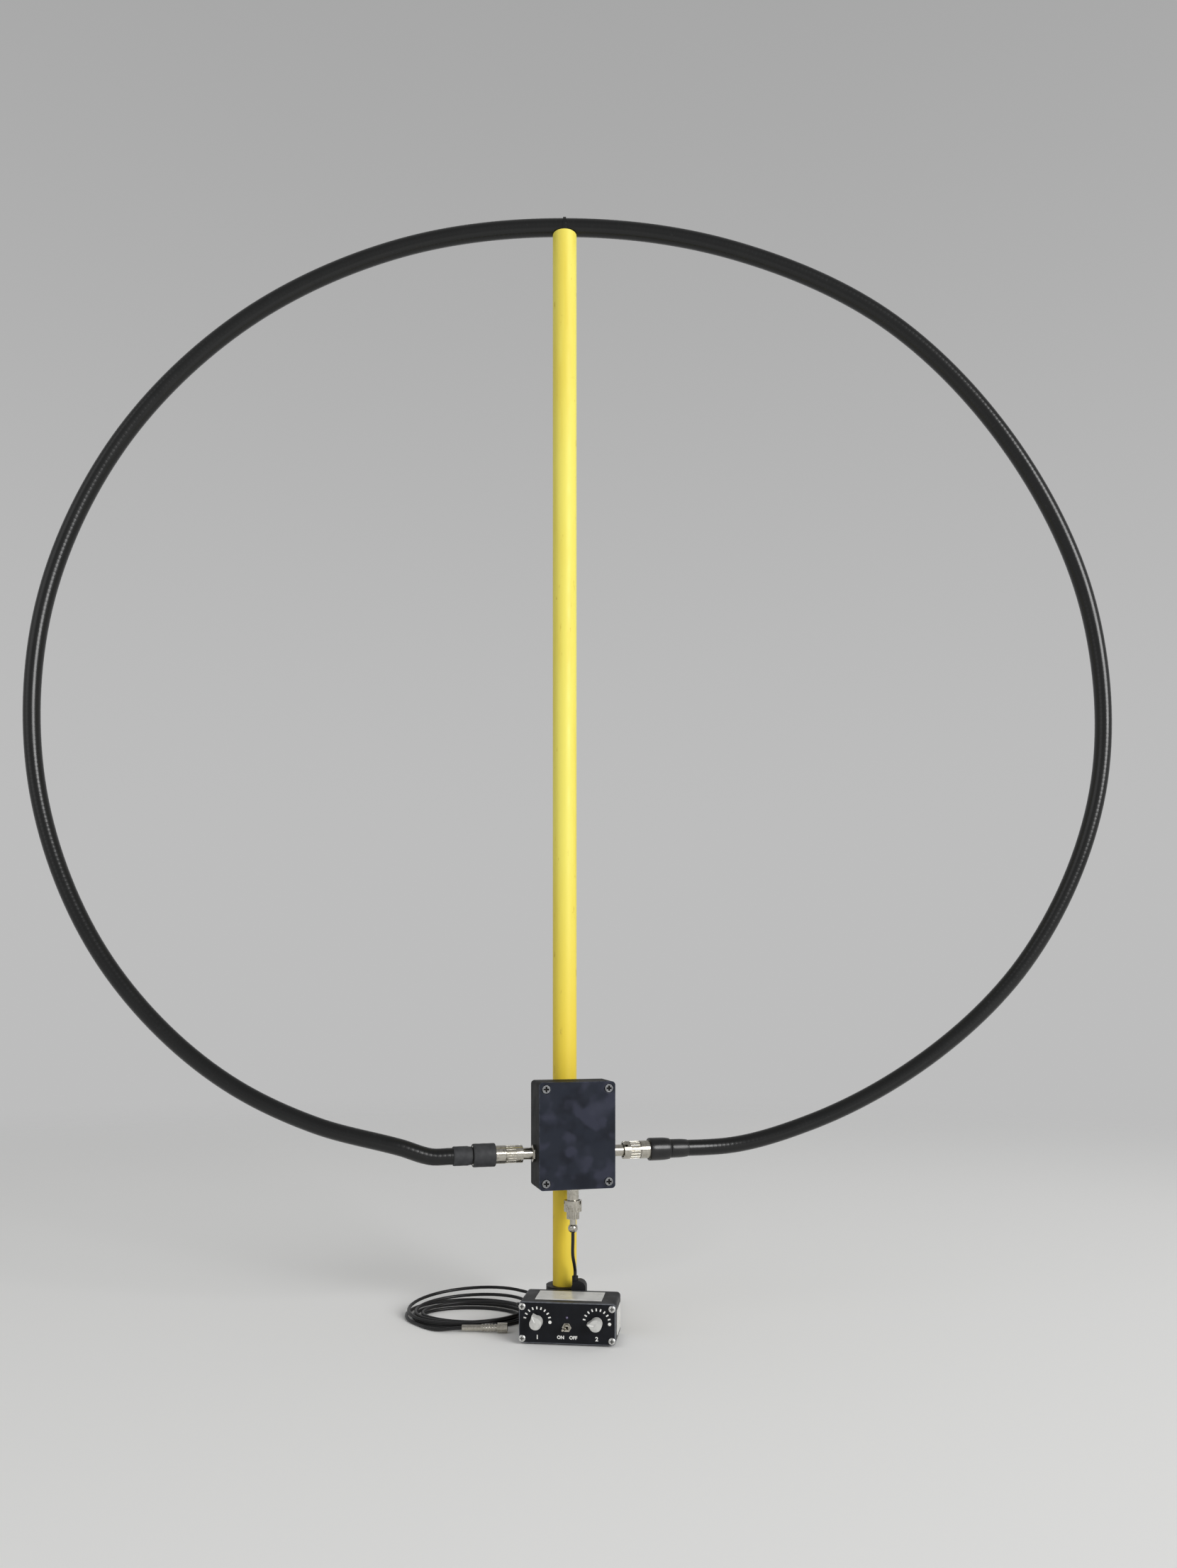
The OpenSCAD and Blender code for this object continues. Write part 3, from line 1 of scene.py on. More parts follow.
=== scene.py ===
import bpy
import bmesh
import json
import math
from mathutils import Matrix, Vector
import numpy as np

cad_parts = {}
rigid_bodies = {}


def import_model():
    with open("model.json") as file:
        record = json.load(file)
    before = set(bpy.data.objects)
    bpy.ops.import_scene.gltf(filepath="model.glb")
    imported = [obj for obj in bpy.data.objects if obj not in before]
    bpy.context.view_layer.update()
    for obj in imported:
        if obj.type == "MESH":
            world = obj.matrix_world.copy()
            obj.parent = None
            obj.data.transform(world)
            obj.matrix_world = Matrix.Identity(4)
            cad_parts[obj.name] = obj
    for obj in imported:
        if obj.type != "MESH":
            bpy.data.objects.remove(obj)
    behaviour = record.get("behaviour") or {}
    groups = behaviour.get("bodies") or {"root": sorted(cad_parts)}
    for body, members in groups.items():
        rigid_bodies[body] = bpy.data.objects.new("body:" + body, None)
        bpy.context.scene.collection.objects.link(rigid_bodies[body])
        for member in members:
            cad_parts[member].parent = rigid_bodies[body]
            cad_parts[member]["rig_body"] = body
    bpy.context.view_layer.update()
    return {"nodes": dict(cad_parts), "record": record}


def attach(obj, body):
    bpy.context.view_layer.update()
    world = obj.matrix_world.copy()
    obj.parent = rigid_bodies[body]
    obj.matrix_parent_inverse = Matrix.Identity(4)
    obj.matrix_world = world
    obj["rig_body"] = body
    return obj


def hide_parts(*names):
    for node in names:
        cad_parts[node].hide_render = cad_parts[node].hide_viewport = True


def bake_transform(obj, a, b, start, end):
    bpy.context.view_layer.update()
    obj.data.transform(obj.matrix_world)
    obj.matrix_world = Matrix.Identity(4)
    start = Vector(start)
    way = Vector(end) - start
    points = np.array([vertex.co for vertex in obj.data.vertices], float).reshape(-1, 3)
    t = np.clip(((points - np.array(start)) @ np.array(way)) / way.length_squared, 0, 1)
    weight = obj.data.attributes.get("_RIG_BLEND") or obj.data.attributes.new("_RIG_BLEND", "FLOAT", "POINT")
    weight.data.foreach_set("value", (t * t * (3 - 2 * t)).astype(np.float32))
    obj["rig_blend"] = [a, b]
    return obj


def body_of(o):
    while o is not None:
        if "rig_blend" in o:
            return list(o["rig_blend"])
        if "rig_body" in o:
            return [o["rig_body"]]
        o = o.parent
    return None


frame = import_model()
nodes = frame["nodes"]
mm = 0.001
print("frame loaded:", len(nodes), "nodes")

# Where the matching box and the tuner stand, in millimetres and degrees
place = {
    "boxYaw": 15, "boxWide": 63, "boxLow": 118.5, "jackDepth": 28, "jackRise": 28.2,
    "tunerYaw": -7.1, "tunerX": 3.1, "tunerY": -67, "tunerMid": 17.75,
}


def turned(angle, axis):
    return Matrix.Rotation(math.radians(angle), 4, axis)


def moved(x, y, z):
    return Matrix.Translation(Vector((x, y, z)) * mm)


# The matching box is turned about the mast
def boxFrame():
    return turned(place["boxYaw"], "Z")


# The tuner is turned about a point on the floor, under the middle of its front panel
def tunerFrame():
    return moved(place["tunerX"], place["tunerY"], 0) @ turned(place["tunerYaw"], "Z")


def boxPoint(x, y, z):
    return boxFrame() @ Vector((x, y, z)) * mm


def tunerPoint(x, y, z):
    return tunerFrame() @ (Vector((x, y, z)) * mm)


def linked(name, data):
    obj = bpy.data.objects.new(name, data)
    bpy.context.scene.collection.objects.link(obj)
    return obj


# Camera: level, with a raised view, as the photograph was framed
camera = {
    "x": 20, "y": -988, "z": 277, "focalPixels": 1660, "longSide": 2212, "horizonDrop": 294,
    "sensor": 36, "nearest": 0.01,
}
camData = bpy.data.cameras.new("photoCamera")
camData.sensor_width = camera["sensor"]
camData.lens = camera["sensor"] * camera["focalPixels"] / camera["longSide"]
camData.shift_y = camera["horizonDrop"] / camera["longSide"]
camData.clip_start = camera["nearest"]
camObject = linked("photoCamera", camData)
camObject.location = Vector((camera["x"], camera["y"], camera["z"])) * mm
camObject.rotation_euler = (math.radians(90), 0, 0)
bpy.context.scene.camera = camObject
bpy.context.scene.view_settings.view_transform = "Standard"
print("camera ready")


# Smooth curve through given points: its direction at each of them, then the way to the next
def smoothPath(points, steps):
    last = len(points) - 1
    spans = [(b - a).length for a, b in zip(points, points[1:])]
    slopes = [(points[1] - points[0]) / spans[0]]
    for i in range(1, last):
        a, b = spans[i - 1], spans[i]
        slopes.append(((points[i] - points[i - 1]) * b / a + (points[i + 1] - points[i]) * a / b) / (a + b))
    slopes.append((points[last] - points[last - 1]) / spans[-1])
    path = []
    for i, span in enumerate(spans):
        for s in range(steps):
            t = s / steps
            path.append((2 * t ** 3 - 3 * t ** 2 + 1) * points[i]
                        + (t ** 3 - 2 * t ** 2 + t) * span * slopes[i]
                        + (3 * t ** 2 - 2 * t ** 3) * points[i + 1]
                        + (t ** 3 - t ** 2) * span * slopes[i + 1])
    return path + [points[last]]


def pathLength(path):
    return sum((b - a).length for a, b in zip(path, path[1:]))


def curveAlong(name, path, radius, sides):
    data = bpy.data.curves.new(name, "CURVE")
    data.dimensions = "3D"
    data.twist_mode = "MINIMUM"
    data.bevel_depth = radius
    data.bevel_resolution = sides
    data.use_fill_caps = True
    spline = data.splines.new("POLY")
    spline.points.add(len(path) - 1)
    for point, p in zip(spline.points, path):
        point.co = (*p, 1)
    spline.use_smooth = True
    return linked(name, data)


# The evaluated shape of an object, as a plain mesh object of the same name
def settled(obj):
    graph = bpy.context.evaluated_depsgraph_get()
    mesh = bpy.data.meshes.new_from_object(obj.evaluated_get(graph))
    name = obj.name
    bpy.data.objects.remove(obj)
    return linked(name, mesh)


def fromBmesh(name, bm):
    mesh = bpy.data.meshes.new(name)
    bm.to_mesh(mesh)
    bm.free()
    return linked(name, mesh)


# A mesh object that is smooth but for its sharp edges
def newPiece(name, bm, sharpAngle=36):
    for face in bm.faces:
        face.smooth = True
    for edge in bm.edges:
        edge.smooth = not edge.is_manifold or edge.calc_face_angle() < math.radians(sharpAngle)
    return fromBmesh(name, bm)


# A row of points spun once round an axis
def spun(bm, points, axis, steps, closed=False):
    verts = [bm.verts.new(point) for point in points]
    edges = [bm.edges.new(pair) for pair in zip(verts, verts[1:] + (verts[:1] if closed else []))]
    bmesh.ops.spin(bm, geom=verts + edges, cent=(0, 0, 0), axis=axis, dvec=(0, 0, 0), angle=2 * math.pi,
                   steps=steps, use_merge=True)


def bevelled(bm, edges, width, segments):
    return bmesh.ops.bevel(bm, geom=edges, offset=width * mm, offset_type="OFFSET", segments=segments,
                           profile=0.5, affect="EDGES", clamp_overlap=True, material=-1)


def addBar(bm, x, y, z, at):
    bmesh.ops.create_cube(bm, size=1, matrix=at @ Matrix.Diagonal((x * mm, y * mm, z * mm, 1)))


def addDisc(bm, radius, thick, segments, at):
    bmesh.ops.create_cone(bm, cap_ends=True, segments=segments, radius1=radius * mm, radius2=radius * mm,
                          depth=thick * mm, matrix=at)


slotOf = {part["node"]: part["material_slot"] for part in frame["record"]["subparts"]}
finishOf = {}
secondLook = {}


# Puts a piece in a node's place: on its body, in its slot and in its finish unless another is named
def standFor(piece, node, look=None):
    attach(piece, body_of(nodes[node])[0])
    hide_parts(node)
    finishOf[piece] = look or slotOf[node]
    return piece


def pieceName(node):
    first, *rest = node.split("_")
    return first + "".join(word.capitalize() for word in rest)


rounding = {"merge": 0.002, "flatAngle": 0.6, "sharpAngle": 34, "segments": 2}


# A copy of a node with its outer edges rounded over; the strips are marked, so that wear and a painted
# highlight can follow them
def rounded(node, width, look=None, chosen=None):
    bm = bmesh.new()
    bm.from_mesh(nodes[node].data)
    bmesh.ops.remove_doubles(bm, verts=bm.verts, dist=rounding["merge"] * mm)
    flat = math.radians(rounding["flatAngle"])
    sharp = math.radians(rounding["sharpAngle"])
    bmesh.ops.dissolve_limit(bm, angle_limit=flat, verts=bm.verts, edges=bm.edges)
    wearAndHighlight = bm.faces.layers.float.new("edgeWear")
    edges = [e for e in bm.edges if e.is_manifold and e.is_convex and e.calc_face_angle() > sharp]
    if chosen:
        edges = [e for e in edges if all(chosen(v.co) for v in e.verts)]
    for face in bevelled(bm, edges, width, rounding["segments"])["faces"]:
        face[wearAndHighlight] = 1
    piece = newPiece(pieceName(node), bm)
    piece.modifiers.new("flatFaces", "WEIGHTED_NORMAL").keep_sharp = True
    return standFor(settled(piece), node, look)


# Feedline: from the tuner's angled plug to the coil, round it and on to the screw plug
feedline = {
    "thick": 2.8, "sides": 3, "steps": 8, "straight": 2, "tunerStraight": 1.5, "plugDip": 0.5,
    "coilX": -81.5, "coilY": 23, "wide": 55, "deep": 49, "startAngle": -140, "turns": 2.5, "change": 0.5,
    "turnSteps": 48, "narrow": (5.8, 9.2), "shift": (0.8, -4.2), "low": 1.5, "layer": 3.3,
    "lift": 8, "liftAngle": 53,
    "tail": [(-103, -28, 2), (-115, -19, 1.5)],
    "lead": [(-29.5, 42, 12), (-25.5, 27, 10.5), (-28, 11, 12), (-35.5, -1, 15.5), (-38.5, -10, 18)],
    "plugEnd": (-83, -30, 4), "tunerEnd": (-37.85, 46.9, 18),
    "plugEdges": {"feedline_plug_body": 0.12, "feedline_plug_nut": 0.15},
}


# Loops wind inwards on the floor, change over, then wind back outwards on top of them
def coilPath(part):
    loops = 2 * part["turns"] + part["change"]
    count = round(loops * part["turnSteps"])
    path = []
    for i in range(count + 1):
        t = loops * i / count
        step = loops / 2 - abs(t - loops / 2)
        angle = math.radians(part["startAngle"] - 360 * t)
        climb = max(0, min(1, (t - part["turns"]) / part["change"]))
        raised = max(0, (t - part["turns"] - part["change"]) / part["turns"])
        swell = (1 + math.cos(angle - math.radians(part["liftAngle"]))) / 2
        wide = part["wide"] - part["narrow"][0] * step
        deep = part["deep"] - part["narrow"][1] * step
        path.append(Vector((part["coilX"] + part["shift"][0] * step + wide * math.cos(angle),
                            part["coilY"] + part["shift"][1] * step + deep * math.sin(angle),
                            part["low"] + part["layer"] * climb + part["lift"] * raised * swell)) * mm)
    return path


def feedlinePath(part):
    coil = coilPath(part)
    first = (coil[0] - coil[1]).normalized()
    last = (coil[-1] - coil[-2]).normalized()
    straight = part["straight"] * part["thick"] * mm
    plugEnd = Vector(part["plugEnd"]) * mm
    x, y, z = part["tunerEnd"]
    tail = [plugEnd, plugEnd + Vector((-straight, 0, -part["plugDip"] * mm)),
            *(Vector(p) * mm for p in part["tail"]), coil[0] + straight * first, coil[0]]
    lead = [coil[-1], coil[-1] + straight * last, *(Vector(p) * mm for p in part["lead"]),
            tunerPoint(x - part["tunerStraight"] * part["thick"], y, z), tunerPoint(x, y, z)]
    path = smoothPath(tail, part["steps"])[:-1] + coil[:-1] + smoothPath(lead, part["steps"])
    path.reverse()
    return path


feedPlug = [rounded(node, width) for node, width in feedline["plugEdges"].items()]
feedPath = feedlinePath(feedline)
feedThick = feedline["thick"] * mm
feedCord = settled(curveAlong("feedlineCord", feedPath, feedThick / 2, feedline["sides"]))
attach(feedCord, "base")
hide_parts("feedline_coil", "feedline_tail", "feedline_lead")
print("feedline laid:", round(pathLength(feedPath), 3), "m")

# Jumper: from the coupling under the box down to the angled plug behind the tuner
jumper = {
    "thick": 2.7, "sides": 3, "steps": 8, "straight": 2, "bootStraight": 1.5,
    "ferruleEnd": 81, "route": [(7.2, -26.5, 62), (8.5, -23, 53)], "boot": (0.1, 46.9, 44),
}


def jumperRoute(part):
    top = part["ferruleEnd"]
    x, y, z = part["boot"]
    return smoothPath([boxPoint(0, -place["jackDepth"], top),
                       boxPoint(0, -place["jackDepth"], top - part["straight"] * part["thick"]),
                       *(Vector(p) * mm for p in part["route"]),
                       tunerPoint(x, y, z + part["bootStraight"] * part["thick"]),
                       tunerPoint(x, y, z)], part["steps"])


jumperPath = jumperRoute(jumper)
jumperThick = jumper["thick"] * mm
jumperCord = settled(curveAlong("jumperCord", jumperPath, jumperThick / 2, jumper["sides"]))
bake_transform(jumperCord, "mast", "base", start=tuple(jumperPath[0]), end=tuple(jumperPath[-1]))
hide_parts("jumper_lead")
print("jumper laid:", round(pathLength(jumperPath), 3), "m")

# Loop: a ribbed cable from one side of the box, over the mast's top, to the other side
loop = {
    "thick": 13.6, "ribDeep": 0.035, "ribPitch": 3.7, "ribSides": 20, "merge": 0.02, "steps": 16,
    "ribProfile": [(0, 1), (0.1, 0.66), (0.22, 0.2), (0.38, 0), (0.62, 0), (0.78, 0.2), (0.9, 0.66), (1, 1)],
    "rise": 772, "mastTop": 912, "seat": 0.3, "ends": [51, 70, 82],
    "route": [(-128, -61, 8), (-195, -58, 25), (-260, -52, 54), (-368, -41, 154), (-428, -30, 294),
              (-427, -22, 447), (-368, -14, 586), (-265, -8, 691), (-137, -3, 753), (0, 0, 772),
              (137, 1, 755), (268, 2, 698), (373, 3, 594), (441, 4, 456), (449, 4, 299),
              (388, 6, 155), (274, 8, 53), (207, 9, 20), (137, 6, 1)],
}


def loopPath(part):
    axis = place["boxLow"] + place["jackRise"]
    lift = (part["mastTop"] + part["thick"] / 2 + part["seat"] - axis) / part["rise"]
    half = place["boxWide"] / 2
    left = [boxPoint(-half - d, -place["jackDepth"], axis) for d in part["ends"]]
    right = [boxPoint(half + d, -place["jackDepth"], axis) for d in reversed(part["ends"])]
    middle = [Vector((x, y, axis + z * lift)) * mm for x, y, z in part["route"]]
    return smoothPath(left + middle + right, part["steps"])


# One rib is spun, repeated along a straight line and bent along the loop's path
def ribbedLoop(part):
    guide = curveAlong("loopGuide", loopPath(part), 0, 0)
    length = guide.data.splines[0].calc_length()
    count = round(length / (part["ribPitch"] * mm))
    pitch = length / count
    crest = part["thick"] / 2 * mm
    bm = bmesh.new()
    profile = [(x * pitch, 0, crest - deep * part["ribDeep"] * mm) for x, deep in part["ribProfile"]]
    spun(bm, profile, (1, 0, 0), part["ribSides"])
    bmesh.ops.recalc_face_normals(bm, faces=bm.faces)
    obj = fromBmesh("loopRibs", bm)
    row = obj.modifiers.new("row", "ARRAY")
    row.count = count
    row.use_relative_offset = False
    row.use_constant_offset = True
    row.constant_offset_displace = (pitch, 0, 0)
    row.use_merge_vertices = True
    row.merge_threshold = part["merge"] * mm
    bend = obj.modifiers.new("bend", "CURVE")
    bend.object = guide
    bend.deform_axis = "POS_X"
    bpy.context.view_layer.update()
    made = settled(obj)
    bpy.data.objects.remove(guide)
    bm = bmesh.new()
    bm.from_mesh(made.data)
    bmesh.ops.holes_fill(bm, edges=[e for e in bm.edges if e.is_boundary], sides=0)
    for face in bm.faces:
        face.smooth = len(face.verts) == 4
    bm.to_mesh(made.data)
    bm.free()
    print("loop made:", count, "ribs,", round(length, 3), "m")
    return made


loopPiece = ribbedLoop(loop)
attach(loopPiece, "mast")
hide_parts("loop_cable")

# Hard pieces with rounded edges, each by its edge radius in millimetres, and those with a finish of their
# own: the box shell's is a darker copy of the lid's slate, painted shade
edgeRadius = {
    "base_plate": 0.8, "mast_socket": 0.5, "socket_screws": 0.2, "mast_clamp_screw": 0.4, "mast_tube": 0.4,
    "left_plug_body": 0.25, "right_plug_body": 0.25, "left_bayonet_ring": 0.18, "right_bayonet_ring": 0.18,
    "left_jack": 0.2, "right_jack": 0.2, "feed_jack": 0.2, "box_saddles": 0.4, "box_bolts": 0.25,
    "box_bolt_nuts": 0.2, "jumper_plug_body": 0.12, "jumper_bayonet_ring": 0.18, "jumper_end_plug": 0.4,
    "feedline_end_plug": 0.4, "tuner_case": 0.3, "tuner_feet": 0.4, "tuner_top_plate": 0.2,
    "tuner_side_plate": 0.2, "loop_tie": 0.2, "switch_nut": 0.15, "switch_lever": 0.15, "rear_sockets": 0.15,
    "box_shell": 0.7, "box_lid": 0.8,
}
ownLook = {"loop_tie": "cable_black", "box_shell": "shell_slate"}
for node, width in edgeRadius.items():
    rounded(node, width, ownLook.get(node))
print("edges rounded:", len(edgeRadius), "pieces")

# Panels: the outer edge round each of them is rounded over and paler than its faces, a painted highlight
# where the edge catches light
panelRim = {"wide": 76.5, "tall": 32.5, "corner": 3, "deep": 40, "width": 0.7, "near": 0.2, "flat": 0.97}


def onPanelRim(point):
    at = tunerFrame().inverted() @ point / mm
    x = abs(at.x) - panelRim["wide"] / 2 + panelRim["corner"]
    z = abs(at.z - place["tunerMid"]) - panelRim["tall"] / 2 + panelRim["corner"]
    inward = panelRim["corner"] - math.hypot(max(x, 0), max(z, 0)) - min(max(x, z), 0)
    half = panelRim["deep"] / 2
    return inward < panelRim["near"] and abs(at.y - half) > half - panelRim["near"]


for node in ("tuner_front_panel", "tuner_rear_panel"):
    panel = rounded(node, panelRim["width"], None, onPanelRim)
    across = tunerFrame().to_3x3() @ Vector((0, 1, 0))
    for face in panel.data.polygons:
        face.material_index = int(abs(face.normal.dot(across)) < panelRim["flat"])
    secondLook[panel] = "panel_edge"

# Screws: the cross or slot in each head is painted darker, painted shade in the recess
lidScrew = {
    "x": 26, "low": 124, "high": 199.5, "headFront": 44.6,
    "edge": 0.15, "reach": 2.4, "deep": 0.12, "deepest": 2,
}
panelScrew = {
    "x": 35.5, "rise": 12.5, "headFront": 1.9, "backToBack": 40,
    "edge": 0.15, "reach": 1.7, "deep": 0.3, "deepest": 2,
}


# Each spot is the middle of a head's front and the way it faces
def markCross(piece, holder, spots, part, look):
    back = holder.inverted()
    for face in piece.data.polygons:
        at = back @ face.center / mm
        inside = [math.hypot(at.x - x, at.z - z) < part["reach"]
                  and part["deep"] < side * (y - at.y) < part["deepest"] for x, y, z, side in spots]
        face.material_index = int(any(inside))
    secondLook[piece] = look


lidSpots = [(side * lidScrew["x"], -lidScrew["headFront"], lidScrew[level], -1)
            for side in (-1, 1) for level in ("low", "high")]
panelFronts = [(-panelScrew["headFront"], -1), (panelScrew["backToBack"] + panelScrew["headFront"], 1)]
panelSpots = [(x * panelScrew["x"], y, place["tunerMid"] + z * panelScrew["rise"], facing)
              for x in (-1, 1) for z in (-1, 1) for y, facing in panelFronts]
lidScrews = rounded("lid_screws", lidScrew["edge"], "screw_grey")
markCross(lidScrews, boxFrame(), lidSpots, lidScrew, "screw_cross")
panelScrews = rounded("panel_screws", panelScrew["edge"])
markCross(panelScrews, tunerFrame(), panelSpots, panelScrew, "screw_slot")
print("panels and screws made")

# Shrunk sleeves, each from its outline: distance from the box's side wall and radius
sleeves = {
    "turns": 64, "merge": 0.001, "sharpAngle": 50,
    "shell": [(33.2, 8.05), (33.2, 8.95), (33.4, 9.28), (33.9, 9.43), (36, 9.45), (39.5, 9.36), (42.5, 9.45),
              (46, 9.35), (49, 9.44), (50.4, 9.38), (50.95, 9.2), (51.2, 8.85), (51.2, 8.05)],
    "shellTaper": [(33.2, 8.05), (33.2, 8.9), (33.45, 9.25), (34.1, 9.43), (37, 9.45), (42, 9.43),
                   (45.5, 9.36), (48, 9.16), (50, 8.86), (50.9, 8.66), (51.2, 8.4), (51.2, 8.05)],
    "cable": [(51.6, 6.85), (51.6, 7.15), (51.8, 7.32), (53.5, 7.34), (54.3, 7.46), (55, 7.7), (55.7, 7.8),
              (58.5, 7.75), (61.5, 7.8), (64.5, 7.74), (66.1, 7.78), (66.75, 7.6), (67, 7.25), (67, 6.85)],
    "cableTaper": [(51.6, 6.85), (51.6, 7.5), (51.9, 7.72), (53, 7.8), (57, 7.78), (60.5, 7.74), (63, 7.6),
                   (65, 7.38), (66.5, 7.18), (67, 7.05), (67, 6.85)],
}


def shrunkSleeve(node, side, outline, look):
    bm = bmesh.new()
    spun(bm, [(r * mm, 0, z * mm) for z, r in outline], (0, 0, 1), sleeves["turns"], closed=True)
    bmesh.ops.remove_doubles(bm, verts=bm.verts, dist=sleeves["merge"] * mm)
    bmesh.ops.recalc_face_normals(bm, faces=bm.faces)
    wall = moved(side * place["boxWide"] / 2, -place["jackDepth"], place["boxLow"] + place["jackRise"])
    bmesh.ops.transform(bm, matrix=boxFrame() @ wall @ turned(90 * side, "Y"), verts=bm.verts)
    standFor(newPiece(pieceName(node), bm, sleeves["sharpAngle"]), node, look)


shrunkSleeve("left_big_sleeve", -1, sleeves["shell"], "shrink_grey")
shrunkSleeve("left_small_sleeve", -1, sleeves["cable"], "shrink_grey")
shrunkSleeve("right_big_sleeve", 1, sleeves["shellTaper"], "shrink_black")
shrunkSleeve("right_small_sleeve", 1, sleeves["cableTaper"], "shrink_black")
print("sleeves shrunk on")

# Pointer knobs: a round body with a small nub, a rounded rim and a white line
knob = {
    "x": 23.5, "rise": 19.2, "turns": {"load": 24, "tune": 84},
    "wide": 9.5, "tip": 7, "nub": 28, "long": 10.5, "gap": 0.4, "segments": 72, "rim": 0.55, "rimSegments": 3,
    "collarWide": 9, "collarLong": 1.5, "collarSunk": 0.2, "collarSegments": 48, "sharpAngle": 30,
    "lineWide": 0.8, "lineFrom": 1.4, "lineTo": 5.9, "lineProud": 0.05, "lineEdge": 0.04,
}


def knobPlace(part, name):
    side = -1 if name == "load" else 1
    middle = moved(side * part["x"], 0, part["rise"])
    return tunerFrame() @ middle @ turned(-part["turns"][name], "Y") @ turned(90, "X")


def pointerKnob(part, name):
    bm = bmesh.new()
    low = part["gap"] + part["collarLong"]
    bmesh.ops.create_circle(bm, cap_ends=True, segments=part["segments"], radius=part["wide"] / 2 * mm,
                            matrix=moved(0, 0, low))
    nub = math.radians(part["nub"])
    flankX = part["wide"] / 2 * math.sin(nub)
    flankY = part["wide"] / 2 * math.cos(nub)
    for v in bm.verts:
        a = abs(math.atan2(v.co.x, v.co.y))
        if a < nub:
            reach = flankX * part["tip"] / ((part["tip"] - flankY) * math.sin(a) + flankX * math.cos(a))
            v.co.xy = v.co.xy.normalized() * reach * mm
    raised = bmesh.ops.extrude_face_region(bm, geom=bm.faces[:])
    tops = [v for v in raised["geom"] if isinstance(v, bmesh.types.BMVert)]
    bmesh.ops.translate(bm, verts=tops, vec=(0, 0, (part["long"] - low) * mm))
    rim = [e for e in raised["geom"] if isinstance(e, bmesh.types.BMEdge)]
    bevelled(bm, rim, part["rim"], part["rimSegments"])
    collar = part["collarLong"] + part["collarSunk"]
    addDisc(bm, part["collarWide"] / 2, collar, part["collarSegments"], moved(0, 0, part["gap"] + collar / 2))
    bmesh.ops.recalc_face_normals(bm, faces=bm.faces)
    bmesh.ops.transform(bm, matrix=knobPlace(part, name), verts=bm.verts)
    standFor(newPiece(name + "Knob", bm, part["sharpAngle"]), name + "_knob")


def pointerLine(part, name):
    bm = bmesh.new()
    middle = (part["lineFrom"] + part["lineTo"]) / 2
    addBar(bm, part["lineWide"], part["lineTo"] - part["lineFrom"], 2 * part["lineProud"],
           moved(0, middle, part["long"]))
    bevelled(bm, bm.edges[:], part["lineEdge"], 1)
    bmesh.ops.transform(bm, matrix=knobPlace(part, name), verts=bm.verts)
    piece = newPiece(name + "PointerLine", bm)
    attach(piece, name + "_control")
    finishOf[piece] = "white_print"


for name in knob["turns"]:
    pointerKnob(knob, name)
    pointerLine(knob, name)
print("knobs made")

# White print on the tuner's front: scale dashes round each knob, plain numbers and the switch's two words
panelPrint = {
    "reach": 10.1, "dashes": 9, "fromAngle": 168, "toAngle": 16, "dashLong": 2.1, "dashWide": 1.05,
    "dot": 1.3, "dotAngle": -5, "dotSegments": 24, "proud": 0.05, "bold": 0.14, "capShare": 0.7,
    "merge": 0.001, "sharpAngle": 20,
    "words": [("1", -23.5, 4.9, 3.2), ("2", 23.5, 4.9, 3.2), ("ON", -5, 5.6, 2.5), ("OFF", 5, 5.6, 2.5)],
}


def scalePrint(bm, part, middle):
    thick = 2 * part["proud"]
    outward = moved(part["reach"], 0, 0)
    for i in range(part["dashes"]):
        angle = part["fromAngle"] + (part["toAngle"] - part["fromAngle"]) * i / (part["dashes"] - 1)
        addBar(bm, part["dashLong"], part["dashWide"], thick, middle @ turned(angle, "Z") @ outward)
    addDisc(bm, part["dot"], thick, part["dotSegments"], middle @ turned(part["dotAngle"], "Z") @ outward)


def wordPrint(bm, part, words, tall, at):
    text = bpy.data.curves.new("panelWords", "FONT")
    text.body = words
    text.size = tall * mm / part["capShare"]
    text.extrude = part["proud"] * mm
    text.offset = part["bold"] * mm
    text.align_x = "CENTER"
    flat = linked("panelWords", text)
    bpy.context.view_layer.update()
    flat = settled(flat)
    flat.data.transform(at)
    bm.from_mesh(flat.data)
    bpy.data.objects.remove(flat)


def printedFront(part):
    bm = bmesh.new()
    facing = turned(90, "X")
    for side in (-1, 1):
        scalePrint(bm, part, moved(side * knob["x"], 0, knob["rise"]) @ facing)
    for words, x, z, tall in part["words"]:
        wordPrint(bm, part, words, tall, moved(x, 0, z) @ facing)
    bmesh.ops.remove_doubles(bm, verts=bm.verts, dist=part["merge"] * mm)
    bmesh.ops.recalc_face_normals(bm, faces=bm.faces)
    bmesh.ops.transform(bm, matrix=tunerFrame(), verts=bm.verts)
    piece = newPiece("panelPrint", bm, part["sharpAngle"])
    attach(piece, "base")
    finishOf[piece] = "white_print"


printedFront(panelPrint)
print("panel printed")


# Materials: colours are written as they look on a screen, from 0 to 255
def linear(*rgb):
    return tuple(c / 255 / 12.92 if c <= 10 else ((c / 255 + 0.055) / 1.055) ** 2.4 for c in rgb) + (1,)


def newGroup(name, inputs, outputs):
    group = bpy.data.node_groups.new(name, "ShaderNodeTree")
    for label, kind, value in inputs:
        group.interface.new_socket(label, in_out="INPUT", socket_type=kind).default_value = value
    for label, kind in outputs:
        group.interface.new_socket(label, in_out="OUTPUT", socket_type=kind)
    return group, group.nodes.new("NodeGroupInput"), group.nodes.new("NodeGroupOutput")


def addNode(tree, kind, **values):
    node = tree.nodes.new(kind)
    for key, value in values.items():
        setattr(node, key, value)
    return node


def setInputs(node, values):
    for label, value in values.items():
        node.inputs[label].default_value = value


